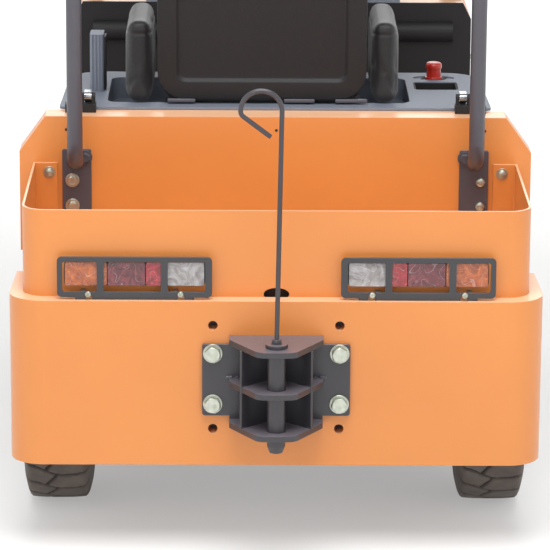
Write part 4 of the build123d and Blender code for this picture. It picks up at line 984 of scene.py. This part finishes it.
# %% Hinge bolts and caps
hinge_bolt = hex_bolt(13, 6, 9, 1.2)
hinge_spots = [(mm(x), ahead(523), mm(861)) for x in (-448, 448)]
spread(hinge_bolt, "hinge_bolts", hinge_spots, (0, 0, 1))
cap = turned([(0, 0), (8, 0), (8.5, 2), (8, 5), (6, 8), (3, 9.6), (0, 10)], 24)
for side, hand in ((-1, "left"), (1, "right")):
    spread(cap, f"hinge_cap_{hand}", [(side * mm(430.2), ahead(526), mm(876))], (side, 0, 0),
           "bright_metal")
leaf_spots = [(mm(x), ahead(580), mm(853.2)) for x in (-414, 414)]
spread(hinge_bolt, "hinge_leaf_bolts", leaf_spots, (0, 0, 1), "zinc_plate", "deck")
bar_bolt = hex_bolt(24, 11, 17, 2.5)
bar_spots = [(side * mm(235), 1.0915 - mm(16), mm(z)) for side in (-1, 1) for z in (260, 340)]
spread(bar_bolt, "front_bumper_bolts", bar_spots, (0, 1, 0))
print("fixings:", len(hinge_spots + leaf_spots + bar_spots))

# %% [markdown]
# Small dark parts the picture shows: dark discs behind the four empty holes of the bumper
# and a dark plate behind the drain, which are painted shade that keeps those holes dark,
# a rubber strip along the grip, a ring round the stop button, and a cup in the switch
# pocket with three rocker switches in it.

# %% Dark inserts
low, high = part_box("rear_tray")
# Painted shade: dark discs behind the empty holes of the bumper, so the holes look dark inside.
hole_shade_disc = turned([(0, 0), (17, 0), (17, 3), (0, 3)], 24)
spread(hole_shade_disc, "hole_shade_discs", [(mm(x), low.y, mm(388 + z))
                                for x in (-132.5, 132.5) for z in (-112.5, 112.5)],
       (0, 1, 0), "frame_paint")
# Painted shade: a dark plate behind the drain, so the drain looks dark inside.
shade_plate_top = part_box("rear_bumper")[1].z + mm(36)
settle(block((-mm(34), low.y + mm(26), low.z + mm(2)), (mm(34), low.y + mm(29), shade_plate_top), 1.4, 2),
       "drain_shade_plate", "black_plastic")
print("tray floor, guard top:", round(low.z, 4), round(shade_plate_top, 4))
low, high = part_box("deck_lever")
settle(block((high.x - mm(1), low.y + mm(8), low.z + mm(3)),
             (high.x + mm(5), high.y - mm(8), high.z - mm(6)), 1.5, 2),
       "grip_strip", "black_plastic", "deck")
low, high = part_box("emergency_stop")
stop_x, stop_y = (low.x + high.x) / 2, (low.y + high.y) / 2
pocket = turned([(21, 0), (46, 0), (46, 2.6), (44, 2.6), (43, 1), (21, 1)], 48)
for point in pocket.data.vertices:
    point.co.y *= 0.48 if math.hypot(point.co.x, point.co.y) > mm(30) else 0.99
spread(pocket, "stop_pocket_ring", [(stop_x, stop_y, low.z)], (0, 0, 1), "black_plastic", "deck")
put_away(hole_shade_disc, pocket)
cup = block((stop_x - mm(49), stop_y - mm(132), low.z - mm(24.5)),
            (stop_x + mm(49), stop_y - mm(48), low.z + mm(1.5)), 1.0, 1)
opened(cup)
pick(cup, "FACE", lambda f: f.normal.z > 0.99 and f.calc_area() > 0.004)
bpy.ops.mesh.inset(thickness=mm(2))
bpy.ops.mesh.extrude_region_move(TRANSFORM_OT_translate={"value": (0, 0, -mm(23))})
closed()
rockers = [block((stop_x + mm(x - 11), stop_y - mm(105), low.z - mm(23)),
                 (stop_x + mm(x + 11), stop_y - mm(75), low.z - mm(12)), 3, 2)
           for x in (-29, 0, 29)]
settle(joined([cup] + rockers), "switch_cup", "black_plastic", "deck")
print("inserts done")

# %% [markdown]
# When the deck is tipped back the battery shows: cell lids, vent caps and bright links.

# %% Battery cells
low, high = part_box("battery")
across, along = (high.x - low.x) / 6, (high.y - low.y) / 2
lids, caps = [], []
vent = turned([(0, 0), (15, 0), (15, 4), (12, 8), (5, 8.6), (0, 8.6)], 24)
for column in range(6):
    for row in range(2):
        x, y = low.x + across * (column + 0.5), low.y + along * (row + 0.5)
        lids.append(block((x - across / 2 + mm(3), y - along / 2 + mm(3), high.z - mm(1)),
                          (x + across / 2 - mm(3), y + along / 2 - mm(3), high.z + mm(5)), 2.5, 2))
        caps.append((x, y, high.z + mm(5)))
settle(joined(lids), "battery_cell_lids", "cast_housing")
spread(vent, "battery_vent_caps", caps, (0, 0, 1), "red_plastic")
links = [block((low.x + across * (k + 0.75), low.y + along * 0.2, high.z + mm(5)),
               (low.x + across * (k + 1.25), low.y + along * 0.3, high.z + mm(8)), 1, 1)
         for k in range(5)]
settle(joined(links), "battery_links", "bright_metal")
put_away(hinge_bolt, cap, bar_bolt, vent)
print("battery cells:", len(caps))

# %% [markdown]
# The picture was taken from behind and a little above, from about seven metres, with a
# long lens. The camera's place and turn were worked out from the bumper, the tray, the
# lamps and the tyres, for a square frame, so no shift is needed.

# %% Camera
yaw, pitch, roll = 0.0087, 0.2614, 0.0061
forward = Vector((math.sin(yaw) * math.cos(pitch), math.cos(yaw) * math.cos(pitch),
                  -math.sin(pitch)))
right = Vector((math.cos(yaw), -math.sin(yaw), 0.0))
up = right.cross(forward)
right, up = (right * math.cos(roll) + up * math.sin(roll),
             up * math.cos(roll) - right * math.sin(roll))
lens_data = bpy.data.cameras.new("long_lens")
lens_data.sensor_width = 36.0
lens_data.lens = 224.5
lens_data.clip_end = 60.0
studio_camera = bpy.data.objects.new("studio_camera", lens_data)
bpy.context.collection.objects.link(studio_camera)
turn = Matrix((right, up, -forward)).transposed().to_4x4()
studio_camera.matrix_world = Matrix.Translation((-0.0635, ahead(-6888.6), 2.4532)) @ turn
bpy.context.scene.camera = studio_camera
print("camera at", [round(v, 3) for v in studio_camera.matrix_world.translation])

# %% [markdown]
# The floor is plain and almost white, and curves away out of sight, so the tractor
# stands in a pale studio with only a soft contact shadow.

# %% Floor
bpy.ops.object.select_all(action="DESELECT")
bpy.ops.mesh.primitive_grid_add(x_subdivisions=32, y_subdivisions=32, size=64.0)
floor = bpy.context.object
sweep_from, sweep_rise = 21.0, 0.12
floor.name = "studio_floor"
opened()
bpy.ops.mesh.select_all(action="DESELECT")
sweep = bmesh.from_edit_mesh(floor.data)
for point in sweep.verts:
    far = max(0.0, math.hypot(point.co.x, point.co.y) - sweep_from)
    point.co.z = sweep_rise * far * far
bmesh.update_edit_mesh(floor.data)
closed()
bpy.ops.object.shade_smooth()
paper, node, shader, place = new_finish("pale_studio_floor", Roughness=0.85)
shader.inputs["Emission Color"].default_value = linear("FFFFFF")
reach = node("VectorMath", {"operation": "LENGTH"}, {0: place}).outputs["Value"]
glow = node("MapRange", {"From Min": 1.2, "From Max": 5.0, "To Min": 0.33, "To Max": 0.68},
            {"Value": reach}).outputs[0]
mottle = node("TexNoise", {"Scale": 1.2, "Detail": 4.0}, {"Vector": place})
colour = node("Mix", {"data_type": "RGBA", 6: linear("C9C9C8"), 7: linear("CDCDCC")},
              {0: mottle.outputs["Fac"]}).outputs[2]
plug(shader, {"Base Color": colour, "Emission Strength": glow})
floor.data.materials.append(paper)
print("floor reaches", [round(v, 2) for v in floor.dimensions])

# %% [markdown]
# Soft light comes from large panels: one wide panel overhead, one behind the camera and
# one at each side, with a white room that fills the rest. Big panels give the soft,
# even shading of the picture, brightest on surfaces that face up.


# %% Studio light
def panel(name, spot, size, power, look_at=(0.0, -0.3, 0.6)):
    """A square soft light that faces the tractor."""
    data = bpy.data.lights.new(name, "AREA")
    data.size = size
    data.energy = power
    made = bpy.data.objects.new(name, data)
    bpy.context.collection.objects.link(made)
    aim = Vector(look_at) - Vector(spot)
    made.rotation_euler = aim.to_track_quat("-Z", "Y").to_euler()
    made.location = spot
    return made


panel("overhead_panel", (0.0, -2.5, 4.7), 3.2, 250, (0.0, -0.6, 0.6))
panel("behind_camera_panel", (-1.0, -8.0, 3.0), 4.0, 25)
panel("left_panel", (-5.5, -2.5, 3.0), 3.5, 30)
panel("right_panel", (5.5, -1.5, 3.0), 3.5, 26)
panel("front_panel", (0.5, 6.5, 4.0), 4.0, 80)
room = bpy.data.worlds.new("white_room")
room.use_nodes = True
room.node_tree.nodes["Background"].inputs[0].default_value = linear("FBFBFC")
room.node_tree.nodes["Background"].inputs[1].default_value = 0.35
bpy.context.scene.world = room
bpy.context.scene.view_settings.view_transform = "Standard"

# %% [markdown]

# %% End
print("done")
